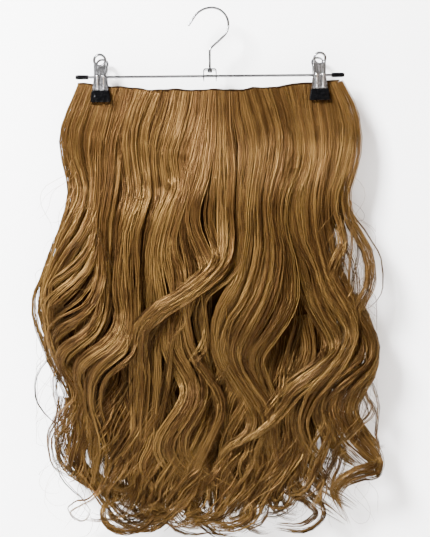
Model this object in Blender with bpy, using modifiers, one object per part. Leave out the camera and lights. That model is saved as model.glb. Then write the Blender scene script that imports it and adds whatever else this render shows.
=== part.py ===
"""Clip-in hair extension of long wavy hair, held by the two clips of a clip hanger.

Lengths are in metres, +Z is up, +X is to the right and +Y is to the back, away from the side
that shows. The origin is the inner top of the hanger's hook, where the whole thing hangs.
The hair's locks are laid out in per cent: a drop is a per cent of the hair's length below its
top line, and a side is a per cent of the weft's width to the right of the hook.
"""

import math
from collections import namedtuple

import bmesh
import bpy
from mathutils import Matrix, Vector

GAP = 0.0003
MERGE_DISTANCE = 1e-6

# The weft's width sets where the clips hold it, and the clips set how long the bar is
WEFT_WIDTH = 0.3060
CLIP_FROM_WEFT_END = 0.0273
CLIP_X = WEFT_WIDTH / 2 - CLIP_FROM_WEFT_END
BAR_PAST_CLIP = 0.0293
HANGER_WIDTH = 2 * (CLIP_X + BAR_PAST_CLIP)

# Hanger hook, a round wire bent in the plane of the bar
HOOK_WIRE = 0.0027
HOOK_ROUND_X = 0.0024
HOOK_RIGHT_RADIUS = 0.0194
HOOK_LEFT_RADIUS = 0.0240
HOOK_LEFT_END = 146
HOOK_RIGHT_END = -48
HOOK_TIP_LENGTH = 0.0124
HOOK_FILLET = 0.0060
RIVET_RADIUS = 0.0027
RIVET_HEIGHT = 0.0012

# Bracket that joins the hook to the bar
BRACKET_TOP = -0.0694
BRACKET_WIDTH = 0.0156
BRACKET_HEIGHT = 0.0131
BRACKET_DEPTH = 0.0120
BRACKET_SHEET = 0.0012
BRACKET_CORNER = 0.0030

# Bar and its end caps
BAR_Z = -0.0775
BAR_RADIUS = 0.0015
CAP_LENGTH = 0.0150
CAP_RADIUS = 0.0027
CAP_ROUND = 0.0012
CAP_WALL = 0.0014
CAP_SIDES = 14

# Clips: heights are measured up from the bar, and the jaws' sheet is bent at the two folds
JAW_SHEET = 0.0010
HEAD_HEIGHT = 0.0174
HEAD_RADIUS = 0.0078
HEAD_HOLE_RADIUS = 0.0050
HANDLE_FOLD = 0.0030
TAB_FOLD = -0.0162
WAIST_WIDTH = 0.0140
FLUTE_WIDTH = 0.0180
FLUTE_RISE = 0.0006
TAB_WIDTH = 0.0160
TAB_LENGTH = 0.0108
JAW_SLOPE = 8
FRONT_HANDLE_SLOPE = 8
BACK_HANDLE_SLOPE = 30
RIB_X = 0.0035
RIB_WIDTH = 0.0042
RIB_HEIGHT = 0.0010
RIB_TOP = 0.0012
RIB_ROUND = 0.0007
RIB_ABOVE_FOLD = 0.0004
EAR_TOP = 0.0065
EAR_BOTTOM = -0.0105
EAR_RADIUS = 0.0040
FRONT_EAR_X = 0.0062
BACK_EAR_X = 0.0046
EAR_SHEET = 0.0009

# Rubber pads on the jaws' ends
PAD_TOP = -0.0165
PAD_HEIGHT = 0.0128
PAD_TOP_WIDTH = 0.0200
PAD_BOTTOM_WIDTH = 0.0240
PAD_WALL = 0.0015
PAD_ROUND = 0.0008

# Torsion spring round the bar, between the jaws
SPRING_WIRE = 0.0011
SPRING_RADIUS = 0.0027
SPRING_PITCH = 0.0016
SPRING_TURNS = 3.5
SPRING_POINTS_PER_TURN = 8
SPRING_ARM = 0.0085
BACK_ARM_GAP = 0.0002

# Weft, the sewn band that the hair hangs from
WEFT_RIGHT_END = 49.3
WEFT_LEFT_END = -50.6
WEFT_END_Z = -0.0846
WEFT_HEIGHT = 0.0026
WEFT_THICKNESS = 0.0022
WEFT_KNOB = 0.0016
WEFT_KNOB_TOP_WIDTH = 0.0022
WEFT_KNOB_FOOT_WIDTH = 0.0026
WEFT_SEGMENTS = 36
WEFT_SAG = 0.0095

# How deep the weft hangs at each side, in per cent of its deepest sag
WeftSag = namedtuple("WeftSag", "side sag")
WEFT_SAGS = [
    WeftSag(-50.6, 0),
    WeftSag(-46.0, 16),
    WeftSag(-36.0, 47),
    WeftSag(-28.0, 74),
    WeftSag(-20.0, 98),
    WeftSag(-12.0, 88),
    WeftSag(-7.0, 100),
    WeftSag(0.0, 99),
    WeftSag(12.0, 96),
    WeftSag(18.0, 78),
    WeftSag(22.0, 79),
    WeftSag(28.0, 53),
    WeftSag(36.0, 28),
    WeftSag(47.0, 1),
    WeftSag(49.3, 0),
]

# Snap clips sewn behind the weft, the outer two beside the hanger's clips
SNAP_CLIP_LENGTH = 0.0320
SNAP_CLIP_HEIGHT = 0.0100
SNAP_CLIP_SHEET = 0.0014
SNAP_CLIP_CORNER = 0.0035
SNAP_CLIP_DROP = 0.0005
SNAP_CLIP_FROM_PAD = 0.0074
SNAP_LEAF_LENGTH = 0.0200
SNAP_LEAF_HEIGHT = 0.0040
SNAP_LEAF_RISE = 0.0012
SNAP_LEAF_CORNER = 0.0015
OUTER_SNAP_CLIP_X = CLIP_X - PAD_BOTTOM_WIDTH / 2 - SNAP_CLIP_FROM_PAD - SNAP_CLIP_LENGTH / 2
SNAP_CLIP_XS = [OUTER_SNAP_CLIP_X * share for share in (-1, -1 / 3, 1 / 3, 1)]

# Hair
HAIR_LENGTH = 0.5100
HAIR_TOP_Z = -0.0880
HAIR_DEPTH = 0.0500
ROOT_HALF_THICKNESS = 0.0019
ROOT_BELOW_WEFT = 0.0012

# Curtain behind the locks: its sides, and how much further than the root it reaches to the
# front and to the back, in per cent of the hair's depth
CurtainRow = namedtuple("CurtainRow", "drop left right front back")
CURTAIN = [
    CurtainRow(0.0, -50.4, 48.8, 0, 0),
    CurtainRow(4.2, -52.8, 52.8, 0, 0),
    CurtainRow(8.0, -55.4, 55.2, 4, 4),
    CurtainRow(13.0, -56.6, 55.8, 8, 10),
    CurtainRow(20.0, -53.6, 54.0, 8, 15),
    CurtainRow(28.0, -53.2, 51.2, 8, 18),
    CurtainRow(37.0, -55.0, 48.0, 8, 20),
    CurtainRow(46.0, -58.0, 46.6, 8, 21),
    CurtainRow(54.0, -58.4, 52.5, 8, 22),
    CurtainRow(61.0, -56.0, 55.5, 7, 22),
    CurtainRow(68.0, -49.6, 49.5, 6, 21),
    CurtainRow(75.0, -48.5, 43.0, 5, 19),
    CurtainRow(83.0, -50.0, 41.0, 4, 15),
    CurtainRow(90.0, -36.0, 36.0, 2, 10),
    CurtainRow(95.0, -21.0, 25.0, 0, 5),
    CurtainRow(99.5, -9.0, 11.0, 0, 0),
]
CURTAIN_COLUMNS = 16
PLEAT_START = 5.0
PLEAT_DEPTH = 0.30
PLEAT_SWAY = 2.2
PLEAT_SWAY_LENGTH = 36.0

# Locks on the curtain: width at their fullest, in per cent of the weft's width, thickness and
# how far their middle stands in front of the weft's plane, in per cent of the hair's depth,
# and their bends as pairs of drop and side
LOCK_SIDES = 6
LOCK_STEP = 0.0120
LOCK_STEP_PER_WIDTH = 0.0019
LOCK_ROOT = 0.50
LOCK_ROOT_WIDENING = 3.0
LOCK_TIP = 0.22
LOCK_TIP_NARROWING = 3.4
LOCK_RISE_START = 6.0
LOCK_RISE_LENGTH = 26.0
LOCK_FALL_START = 82.0
LOCK_FALL_LENGTH = 22.0
LOCK_FALL = 0.6
Lock = namedtuple("Lock", "name width thickness front bends")
LOCKS = [
    Lock("left_rim", 6.0, 30, 6, [
        (7, -52.4), (13, -53.6), (20, -50.8), (26, -50.2), (32, -53.0), (38, -56.2), (44, -59.0),
        (49, -59.6), (55, -58.2), (60, -57.4), (66, -53.0), (71, -51.4), (75, -54.0), (79, -57.4),
        (83, -57.6), (87, -53.4), (90, -48.4), (93, -45.6)]),
    Lock("left_strand", 1.8, 12, 4, [
        (30, -54.2), (36, -58.0), (42, -61.5), (47, -65.0), (52, -65.2), (57, -62.6), (62, -59.2),
        (68, -54.6), (74, -51.0)]),
    Lock("left_loop", 1.8, 12, 14, [
        (55, -57.5), (59, -60.0), (63, -64.3), (67, -66.9), (71, -66.2), (75, -62.3), (79, -56.5)]),
    Lock("left_fan_high", 7.0, 26, 20, [
        (7, -45.6), (13, -47.6), (20, -45.5), (26, -45.5), (32, -48.5), (38, -53.0), (43, -57.0),
        (48, -58.0), (54, -56.5), (60, -54.0), (66, -50.4), (74, -48.0), (82, -46.5), (88, -45.0)]),
    Lock("left_fan_middle", 6.0, 26, 22, [
        (7, -39.4), (13, -41.6), (20, -41.2), (28, -42.3), (36, -43.0), (42, -46.5), (46, -52.0),
        (50, -56.0)]),
    Lock("left_fan_low", 6.4, 26, 24, [
        (7, -34.6), (13, -36.6), (20, -38.0), (28, -39.5), (38, -40.0), (46, -41.0), (51, -45.5),
        (54, -51.0), (59, -55.5), (65, -51.5), (72, -47.5), (80, -45.4), (88, -43.0)]),
    Lock("left_wave", 8.6, 38, 36, [
        (7, -28.6), (13, -30.4), (19, -29.2), (25, -28.2), (31, -31.2), (38, -32.4), (46, -32.0),
        (54, -31.6), (58, -35.0), (62, -41.0), (67, -44.6), (74, -43.6), (81, -41.0), (88, -42.5),
        (93, -44.5)]),
    Lock("ring_curl", 5.6, 26, 16, [
        (7, -20.4), (13, -22.6), (22, -22.4), (34, -24.6), (46, -26.6), (57, -29.0), (67, -31.6),
        (75, -30.5), (81, -33.6), (85, -36.6), (88, -32.5), (91, -26.8), (95, -24.4), (98, -28.6),
        (98.0, -35.0), (95.5, -40.5)]),
    Lock("middle_left", 7.0, 30, 24, [
        (7, -14.8), (13, -17.6), (20, -17.8), (26, -18.0), (33, -21.6), (42, -22.6), (52, -22.4),
        (62, -23.4), (72, -24.0), (80, -24.4), (85, -21.5), (89, -15.0), (94, -7.5)]),
    Lock("bow_left", 7.0, 34, 32, [
        (7, -8.8), (13, -11.2), (19, -12.4), (25, -12.6), (32, -16.0), (40, -17.0), (49, -15.6),
        (57, -16.6), (63, -13.4), (69, -10.6), (74, -13.8), (79, -17.4), (84, -16.6), (89, -9.6),
        (95, 2.0)]),
    Lock("bow_right", 6.6, 34, 32, [
        (7, -3.2), (13, -5.2), (20, -7.8), (27, -9.8), (34, -11.0), (42, -9.0), (50, -11.0),
        (58, -11.0), (65, -6.0), (71, -5.6), (76, -9.4), (81, -11.4), (86, -7.0), (91, 1.0)]),
    Lock("crossing", 6.0, 26, 46, [
        (7, 2.2), (13, 2.4), (22, 4.2), (34, 4.8), (40, 3.4), (44, -2.8), (48, -12.0), (52, -22.0),
        (56, -26.8), (63, -28.0), (72, -28.4), (80, -29.2), (86, -25.5), (90, -18.0)]),
    Lock("turned_down", 6.0, 28, 38, [
        (7, 8.0), (13, 8.8), (22, 8.6), (34, 8.4), (40, 6.4), (44, -0.2), (48.5, -7.0), (54, -7.6),
        (60, -5.2), (66, 0.8), (72, 4.2), (78, 1.6), (84, -3.2), (89, -3.4), (94, 4.0)]),
    Lock("middle_right", 6.8, 30, 28, [
        (7, 14.2), (13, 15.4), (22, 14.2), (32, 13.6), (41, 11.8), (48, 7.6), (55, 4.6), (61, 5.4),
        (68, 10.8), (74, 14.6), (79, 12.6), (83, 6.4), (87, 5.4), (92, 11.0)]),
    Lock("right_wave", 9.4, 38, 40, [
        (7, 20.6), (13, 22.4), (20, 20.8), (28, 18.8), (36, 20.0), (44, 18.6), (51, 14.4), (57, 10.4),
        (63, 10.8), (69, 15.4), (75, 19.4), (82, 20.8), (88, 25.0), (93, 30.0)]),
    Lock("right_wave_rim", 6.6, 30, 34, [
        (7, 27.8), (13, 29.0), (19, 28.4), (27, 24.2), (34, 24.8), (42, 26.2), (49, 25.2), (55, 20.4),
        (61, 17.0), (68, 18.6), (76, 21.4)]),
    Lock("right_turn", 7.4, 30, 28, [
        (7, 34.4), (13, 35.6), (20, 33.6), (28, 30.6), (36, 32.6), (44, 36.6), (51, 40.4), (57, 44.0),
        (61, 43.4), (66, 35.0), (71, 27.4), (75.5, 21.0), (79, 12.0), (80.6, 5.0)]),
    Lock("curled_tip", 6.2, 26, 28, [
        (7, 39.8), (13, 41.6), (22, 38.8), (31, 38.0), (38, 40.2), (45, 42.0), (52, 48.0), (57, 49.6),
        (62, 46.0), (68, 38.4), (75, 33.6), (80, 35.0), (84, 40.2), (84.8, 46.4)]),
    Lock("right_bulge", 6.4, 26, 20, [
        (7, 45.8), (13, 46.6), (22, 43.8), (30, 42.8), (38, 44.4), (46, 47.6), (53, 54.0), (58.5, 56.8),
        (63, 53.4), (67, 45.8), (72, 41.0), (77, 41.0), (81, 45.2), (85, 52.6)]),
    Lock("flick", 4.0, 24, 12, [
        (52, 52.4), (57, 57.2), (62, 57.8), (67, 51.6), (72, 48.4), (77, 51.2), (82, 57.0),
        (85.2, 60.0), (86.8, 55.4), (88.6, 48.4), (92.5, 45.0), (96, 47.2), (101, 50.8)]),
    Lock("right_rim", 4.4, 24, 4, [
        (7, 51.8), (13, 52.8), (20, 51.2), (26, 49.6), (31, 51.4), (36, 55.8), (41, 58.2), (46, 57.4),
        (51, 53.6), (56, 54.2)]),
]
ARC_STEP = 14


def clear_scene():
    for obj in list(bpy.data.objects):
        bpy.data.objects.remove(obj, do_unlink=True)
    for collection in list(bpy.data.collections):
        bpy.data.collections.remove(collection)


def new_collection(name):
    collection = bpy.data.collections.new(name)
    bpy.context.scene.collection.children.link(collection)
    return collection


def new_material(name, colour, roughness, metallic):
    material = bpy.data.materials.new(name)
    material.use_nodes = True
    shader = material.node_tree.nodes["Principled BSDF"]
    shader.inputs["Base Color"].default_value = (*colour, 1.0)
    shader.inputs["Roughness"].default_value = roughness
    shader.inputs["Metallic"].default_value = metallic
    material.diffuse_color = (*colour, 1.0)
    return material


clear_scene()
PARTS = new_collection("hair_extension_on_hanger")
CUTTERS = new_collection("cutters")
CUTTERS.hide_render = True

CHROME = new_material("chrome", (0.80, 0.80, 0.82), 0.15, 1.0)
SPRING_STEEL = new_material("spring_steel", (0.35, 0.34, 0.33), 0.35, 1.0)
RUBBER = new_material("black_rubber", (0.015, 0.015, 0.016), 0.45, 0.0)
HAIR = new_material("hair_fibre", (0.36, 0.20, 0.08), 0.45, 0.0)
WEFT_THREAD = new_material("weft_thread", (0.04, 0.022, 0.012), 0.75, 0.0)
SNAP_METAL = new_material("snap_clip_metal", (0.10, 0.06, 0.035), 0.40, 0.0)


def mesh_object(name, bm):
    """A new object from a bmesh, with its faces turned outwards."""
    bmesh.ops.recalc_face_normals(bm, faces=bm.faces)
    mesh = bpy.data.meshes.new(name)
    bm.to_mesh(mesh)
    bm.free()
    obj = bpy.data.objects.new(name, mesh)
    PARTS.objects.link(obj)
    return obj


def finish(obj, material, smooth_angle=35):
    """Gives a part its material and its shading, smooth up to the angle."""
    obj.data.materials.clear()
    obj.data.materials.append(material)
    obj.data.shade_smooth()
    obj.data.set_sharp_from_angle(angle=math.radians(smooth_angle))
    return obj


def mesh_of_curve(curve_object):
    """Makes a curve object a welded mesh object in the same place, and removes the curve."""
    bpy.context.view_layer.update()
    graph = bpy.context.evaluated_depsgraph_get()
    mesh = bpy.data.meshes.new_from_object(curve_object.evaluated_get(graph))
    mesh.transform(curve_object.matrix_world)
    name = curve_object.name
    bpy.data.objects.remove(curve_object, do_unlink=True)
    bm = bmesh.new()
    bm.from_mesh(mesh)
    bmesh.ops.remove_doubles(bm, verts=bm.verts, dist=MERGE_DISTANCE)
    bpy.data.meshes.remove(mesh)
    return mesh_object(name, bm)


def wire(name, points, radius, bevel_resolution=2):
    """A round wire with closed ends through the points."""
    curve = bpy.data.curves.new(name, "CURVE")
    curve.dimensions = "3D"
    curve.bevel_depth = radius
    curve.bevel_resolution = bevel_resolution
    curve.use_fill_caps = True
    spline = curve.splines.new("POLY")
    spline.points.add(len(points) - 1)
    for spline_point, point in zip(spline.points, points):
        spline_point.co = (*point, 1.0)
    obj = bpy.data.objects.new(name, curve)
    PARTS.objects.link(obj)
    return mesh_of_curve(obj)


def flat_plate(name, outlines, thickness, plane="XZ"):
    """A flat plate from closed outlines, the later ones holes, centred on its plane."""
    curve = bpy.data.curves.new(name, "CURVE")
    curve.dimensions = "2D"
    curve.fill_mode = "BOTH"
    curve.extrude = thickness / 2
    for outline in outlines:
        spline = curve.splines.new("POLY")
        spline.points.add(len(outline) - 1)
        spline.use_cyclic_u = True
        for spline_point, (across, up) in zip(spline.points, outline):
            spline_point.co = (across, up, 0.0, 1.0)
    obj = bpy.data.objects.new(name, curve)
    obj.rotation_euler = (math.pi / 2, 0, 0 if plane == "XZ" else math.pi / 2)
    PARTS.objects.link(obj)
    return mesh_of_curve(obj)


def cylinder(name, radius, length, centre, axis, sides=16):
    """A cylinder with its axis along X, Y or Z."""
    bm = bmesh.new()
    bmesh.ops.create_cone(
        bm, cap_ends=True, segments=sides, radius1=radius, radius2=radius, depth=length)
    turn = {"X": Vector((1, 0, 0)), "Y": Vector((0, 1, 0)), "Z": Vector((0, 0, 1))}[axis]
    bmesh.ops.transform(bm, matrix=turn.to_track_quat("Z", "Y").to_matrix().to_4x4(), verts=bm.verts)
    bmesh.ops.translate(bm, vec=centre, verts=bm.verts)
    return mesh_object(name, bm)


def combine(obj, others, operation):
    """Joins the others to the object, or cuts them from it, for good."""
    for other in others:
        modifier = obj.modifiers.new(operation.lower(), "BOOLEAN")
        modifier.operation = operation
        modifier.solver = "EXACT"
        modifier.object = other
    bpy.context.view_layer.update()
    graph = bpy.context.evaluated_depsgraph_get()
    mesh = bpy.data.meshes.new_from_object(obj.evaluated_get(graph))
    obj.modifiers.clear()
    obj.data = mesh
    for other in others:
        bpy.data.objects.remove(other, do_unlink=True)
    return obj


def move(obj, offset):
    obj.data.transform(Matrix.Translation(offset))
    return obj


def arc(centre, radius, start, end, step=ARC_STEP):
    """Points on a round arc from the start angle to the end angle, in degrees."""
    count = max(2, round(abs(end - start) / step))
    angles = [math.radians(start + (end - start) * i / count) for i in range(count + 1)]
    return [(centre[0] + radius * math.cos(a), centre[1] + radius * math.sin(a)) for a in angles]


def circle(centre, radius, sides):
    return arc(centre, radius, 0, 360, 360 / sides)[:-1]


def rounded_box(left, right, bottom, top, corner, step=45):
    """The outline of a box with round corners."""
    corners = [
        ((right - corner, bottom + corner), -90),
        ((right - corner, top - corner), 0),
        ((left + corner, top - corner), 90),
        ((left + corner, bottom + corner), 180),
    ]
    return [p for centre, start in corners for p in arc(centre, corner, start, start + 90, step)]


def smooth_path(points, steps):
    """Points on a smooth curve that passes through all the given ones."""
    path = [Vector(p) for p in points]
    ends = [2 * path[0] - path[1], *path, 2 * path[-1] - path[-2]]
    smooth = []
    for i in range(1, len(ends) - 2):
        before, start, end, after = ends[i - 1 : i + 3]
        for j in range(steps):
            t = j / steps
            smooth.append(0.5 * (
                2 * start
                + (end - before) * t
                + (2 * before - 5 * start + 4 * end - after) * t ** 2
                + (3 * start - before - 3 * end + after) * t ** 3))
    return [*smooth, path[-1]]


def evenly_spaced(path, step):
    """Points along a path, the same distance apart."""
    lengths = [0.0]
    for start, end in zip(path, path[1:]):
        lengths.append(lengths[-1] + (end - start).length)
    count = max(2, round(lengths[-1] / step))
    spaced = []
    at = 0
    for i in range(count + 1):
        wanted = lengths[-1] * i / count
        while at < len(path) - 2 and lengths[at + 1] < wanted:
            at += 1
        share = (wanted - lengths[at]) / (lengths[at + 1] - lengths[at])
        spaced.append(path[at].lerp(path[at + 1], min(share, 1.0)))
    return spaced


def weft_z(x):
    """The height of the weft's middle line at x."""
    side = min(max(100 * x / WEFT_WIDTH, WEFT_SAGS[0].side), WEFT_SAGS[-1].side)
    for start, end in zip(WEFT_SAGS, WEFT_SAGS[1:]):
        if side <= end.side:
            share = (side - start.side) / (end.side - start.side)
            ease = share * share * (3 - 2 * share)
            return WEFT_END_Z - WEFT_SAG * (start.sag + (end.sag - start.sag) * ease) / 100
    return WEFT_END_Z


def make_hook():
    """The hook: a straight tip, two arcs over the top, a bend back to the middle, and the stem."""
    top = HOOK_WIRE / 2
    left_centre = (HOOK_ROUND_X, top - HOOK_LEFT_RADIUS)
    right_centre = (HOOK_ROUND_X, top - HOOK_RIGHT_RADIUS)
    left = arc(left_centre, HOOK_LEFT_RADIUS, HOOK_LEFT_END, 90)
    right = arc(right_centre, HOOK_RIGHT_RADIUS, 90, HOOK_RIGHT_END)
    away = math.radians(HOOK_LEFT_END + 90)
    tip = (
        left[0][0] + HOOK_TIP_LENGTH * math.cos(away),
        left[0][1] + HOOK_TIP_LENGTH * math.sin(away))
    lean = math.radians(HOOK_RIGHT_END)
    run = right[-1][0] / -math.sin(lean)
    corner_z = right[-1][1] - run * math.cos(lean)
    tangent = HOOK_FILLET * math.tan(-lean / 2)
    fillet_centre = (HOOK_FILLET, corner_z - tangent)
    fillet = arc(fillet_centre, HOOK_FILLET, 180 + HOOK_RIGHT_END, 180)
    foot = BRACKET_TOP - BRACKET_SHEET - GAP - RIVET_HEIGHT / 2
    route = [tip, *left, *right[1:], *fillet, (0.0, foot)]
    hook = wire("hanger_hook", [(x, 0.0, z) for x, z in route], HOOK_WIRE / 2)
    rivet_z = BRACKET_TOP - BRACKET_SHEET - GAP - RIVET_HEIGHT / 2
    rivet = cylinder("rivet", RIVET_RADIUS, RIVET_HEIGHT, (0, 0, rivet_z), "Z")
    combine(hook, [rivet], "UNION")
    return finish(hook, CHROME)


def make_bracket():
    """A strap bent to an upside-down U, with a hole for the stem and two for the bar."""
    half = BRACKET_WIDTH / 2
    bottom = BRACKET_TOP - BRACKET_HEIGHT
    inner = BRACKET_CORNER - BRACKET_SHEET
    outline = [
        (half, bottom),
        *arc((half - BRACKET_CORNER, BRACKET_TOP - BRACKET_CORNER), BRACKET_CORNER, 0, 90, 22.5),
        *arc((-half + BRACKET_CORNER, BRACKET_TOP - BRACKET_CORNER), BRACKET_CORNER, 90, 180, 22.5),
        (-half, bottom),
        (-half + BRACKET_SHEET, bottom),
        *arc((-half + BRACKET_CORNER, BRACKET_TOP - BRACKET_CORNER), inner, 180, 90, 22.5),
        *arc((half - BRACKET_CORNER, BRACKET_TOP - BRACKET_CORNER), inner, 90, 0, 22.5),
        (half - BRACKET_SHEET, bottom),
    ]
    bracket = flat_plate("hook_bracket", [outline], BRACKET_DEPTH)
    stem_hole = cylinder(
        "stem_hole", HOOK_WIRE / 2 + GAP, 4 * BRACKET_SHEET, (0, 0, BRACKET_TOP), "Z")
    bar_hole = cylinder("bar_hole", BAR_RADIUS + GAP, 2 * BRACKET_WIDTH, (0, 0, BAR_Z), "X")
    combine(bracket, [stem_hole, bar_hole], "DIFFERENCE")
    return finish(bracket, CHROME)


def make_bar():
    end = HANGER_WIDTH / 2 - CAP_WALL - GAP
    bar = cylinder("hanger_bar", BAR_RADIUS, 2 * end, (0, 0, BAR_Z), "X")
    return finish(bar, CHROME)


def make_bar_cap(side, direction):
    """A turned rubber cap, open towards the middle, with a round tip."""
    bore = BAR_RADIUS + GAP
    tip = arc((CAP_RADIUS - CAP_ROUND, CAP_LENGTH - CAP_ROUND), CAP_ROUND, 90, 0, 30)
    profile = [
        (0.0, CAP_LENGTH),
        *tip,
        (CAP_RADIUS, 0.0),
        (bore, 0.0),
        (bore, CAP_LENGTH - CAP_WALL),
        (0.0, CAP_LENGTH - CAP_WALL),
    ]
    mesh = bpy.data.meshes.new("profile")
    points = [(radius, 0.0, height) for radius, height in profile]
    mesh.from_pydata(points, [(i, i + 1) for i in range(len(points) - 1)], [])
    cap = bpy.data.objects.new(f"bar_cap_{side}", mesh)
    PARTS.objects.link(cap)
    screw = cap.modifiers.new("turned", "SCREW")
    screw.steps = CAP_SIDES
    screw.render_steps = CAP_SIDES
    screw.use_merge_vertices = True
    screw.merge_threshold = MERGE_DISTANCE
    cap.rotation_euler = (0, direction * math.pi / 2, 0)
    cap.location = (direction * (HANGER_WIDTH / 2 - CAP_LENGTH), 0, BAR_Z)
    return finish(mesh_of_curve(cap), RUBBER, 50)


def jaw_offset(height, handle_slope):
    """How far a jaw's middle surface is from the bar's plane, at a height above the bar."""
    tab = ROOT_HALF_THICKNESS + GAP + PAD_WALL + GAP + JAW_SHEET / 2
    lower = max(min(height, HANDLE_FOLD) - TAB_FOLD, 0.0)
    upper = max(height - HANDLE_FOLD, 0.0)
    return (
        tab
        + lower * math.tan(math.radians(JAW_SLOPE))
        + upper * math.tan(math.radians(handle_slope)))


def jaw_outline():
    """The flat jaw seen from the front: a round head, a waist, a wider flute and a narrow tab."""
    half_waist = WAIST_WIDTH / 2
    neck = -math.degrees(math.acos(half_waist / HEAD_RADIUS))
    head = arc((0, HEAD_HEIGHT), HEAD_RADIUS, neck, 180 - neck, 20)
    flute = FLUTE_WIDTH / 2
    tab = TAB_WIDTH / 2
    bottom = TAB_FOLD - TAB_LENGTH
    right = [(tab, bottom), (tab, TAB_FOLD), (flute, TAB_FOLD + FLUTE_RISE), (half_waist, RIB_TOP)]
    left = [(-x, z) for x, z in reversed(right)]
    return [*right, *head, *left]


def make_jaw(name, facing, handle_slope, ear_x):
    """A pressed jaw: ribbed, pierced, folded in two places, with an ear on each side of it.

    It faces the front with facing -1, and the back with facing 1.
    """
    hole = circle((0, HEAD_HEIGHT), HEAD_HOLE_RADIUS, 16)
    jaw = flat_plate(name, [jaw_outline(), hole], JAW_SHEET)
    ribs = []
    for x in (-RIB_X, RIB_X):
        centre = (x, RIB_TOP - RIB_WIDTH / 2)
        foot = TAB_FOLD + RIB_ABOVE_FOLD
        top = arc(centre, RIB_WIDTH / 2, 0, 180, 30)
        outline = [(x + RIB_WIDTH / 2, foot), *top, (x - RIB_WIDTH / 2, foot)]
        rib = flat_plate("rib", [outline], RIB_HEIGHT + JAW_SHEET / 2)
        bevel = rib.modifiers.new("round_edges", "BEVEL")
        bevel.width = RIB_ROUND
        bevel.segments = 1
        bevel.limit_method = "ANGLE"
        ribs.append(move(rib, (0, facing * (RIB_HEIGHT + JAW_SHEET / 2) / 2, 0)))
    combine(jaw, ribs, "UNION")
    bm = bmesh.new()
    bm.from_mesh(jaw.data)
    for fold in (TAB_FOLD, HANDLE_FOLD):
        everything = [*bm.verts, *bm.edges, *bm.faces]
        bmesh.ops.bisect_plane(
            bm, geom=everything, dist=1e-7, plane_co=(0, 0, fold), plane_no=(0, 0, 1))
    for vertex in bm.verts:
        vertex.co.y += facing * jaw_offset(vertex.co.z, handle_slope)
    bm.to_mesh(jaw.data)
    bm.free()
    ears = [make_ear(facing, handle_slope, x) for x in (-ear_x, ear_x)]
    combine(jaw, ears, "UNION")
    return jaw


def make_ear(facing, handle_slope, x):
    """A flat ear from the jaw's sheet to round the bar, pierced for it."""
    rim = arc((0, 0), EAR_RADIUS, -60, 60, 20)
    on_sheet = [
        (-jaw_offset(height, handle_slope), height) for height in (EAR_TOP, HANDLE_FOLD, EAR_BOTTOM)]
    outline = [*rim, *on_sheet]
    outline = [(-facing * y, z) for y, z in outline]
    ear = flat_plate("ear", [outline, circle((0, 0), BAR_RADIUS + GAP, 12)], EAR_SHEET, "YZ")
    return move(ear, (x, 0, 0))


def make_pad(name, facing):
    """A rubber boot, wider at its foot, with a slot for the jaw's tab."""
    inner = ROOT_HALF_THICKNESS + GAP
    slot = JAW_SHEET + 2 * GAP
    thickness = 2 * PAD_WALL + slot
    top = PAD_TOP_WIDTH / 2
    foot = PAD_BOTTOM_WIDTH / 2
    bottom = PAD_TOP - PAD_HEIGHT
    outline = [(foot, bottom), (top, PAD_TOP), (-top, PAD_TOP), (-foot, bottom)]
    pad = flat_plate(name, [outline], thickness)
    slot_depth = TAB_LENGTH - (TAB_FOLD - PAD_TOP) + GAP
    bm = bmesh.new()
    bmesh.ops.create_cube(bm, size=1.0)
    bmesh.ops.scale(bm, vec=(TAB_WIDTH + 2 * GAP, slot, 2 * slot_depth), verts=bm.verts)
    bmesh.ops.translate(bm, vec=(0, 0, PAD_TOP), verts=bm.verts)
    bevel = pad.modifiers.new("round_edges", "BEVEL")
    bevel.width = PAD_ROUND
    bevel.segments = 2
    combine(pad, [mesh_object("slot", bm)], "DIFFERENCE")
    return move(pad, (0, facing * (inner + thickness / 2), 0))


def make_spring(name):
    """A coil round the bar with an arm up to each handle."""
    coil = []
    for i in range(round(SPRING_TURNS * SPRING_POINTS_PER_TURN) + 1):
        turn = i / SPRING_POINTS_PER_TURN
        angle = math.pi - 2 * math.pi * turn
        x = SPRING_PITCH * (turn - SPRING_TURNS / 2)
        coil.append((x, SPRING_RADIUS * math.cos(angle), SPRING_RADIUS * math.sin(angle)))
    thickness = SPRING_WIRE / 2 + JAW_SHEET / 2 + GAP
    front_y = -(jaw_offset(SPRING_ARM, FRONT_HANDLE_SLOPE) - thickness)
    back_y = jaw_offset(SPRING_ARM, BACK_HANDLE_SLOPE) - thickness - BACK_ARM_GAP
    first = (coil[0][0], front_y, SPRING_ARM)
    last = (coil[-1][0], back_y, SPRING_ARM)
    return wire(name, [first, *coil, last], SPRING_WIRE / 2, 1)


def make_clip(side, direction):
    """One clip of the hanger: two jaws, two pads and the spring, all hung on the bar."""
    place = (direction * CLIP_X, 0, BAR_Z)
    pieces = [
        (make_jaw(f"clip_{side}_front_jaw", -1, FRONT_HANDLE_SLOPE, FRONT_EAR_X), CHROME),
        (make_jaw(f"clip_{side}_back_jaw", 1, BACK_HANDLE_SLOPE, BACK_EAR_X), CHROME),
        (make_pad(f"clip_{side}_front_pad", -1), RUBBER),
        (make_pad(f"clip_{side}_back_pad", 1), RUBBER),
        (make_spring(f"clip_{side}_spring"), SPRING_STEEL),
    ]
    for piece, material in pieces:
        finish(move(piece, place), material)


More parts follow.
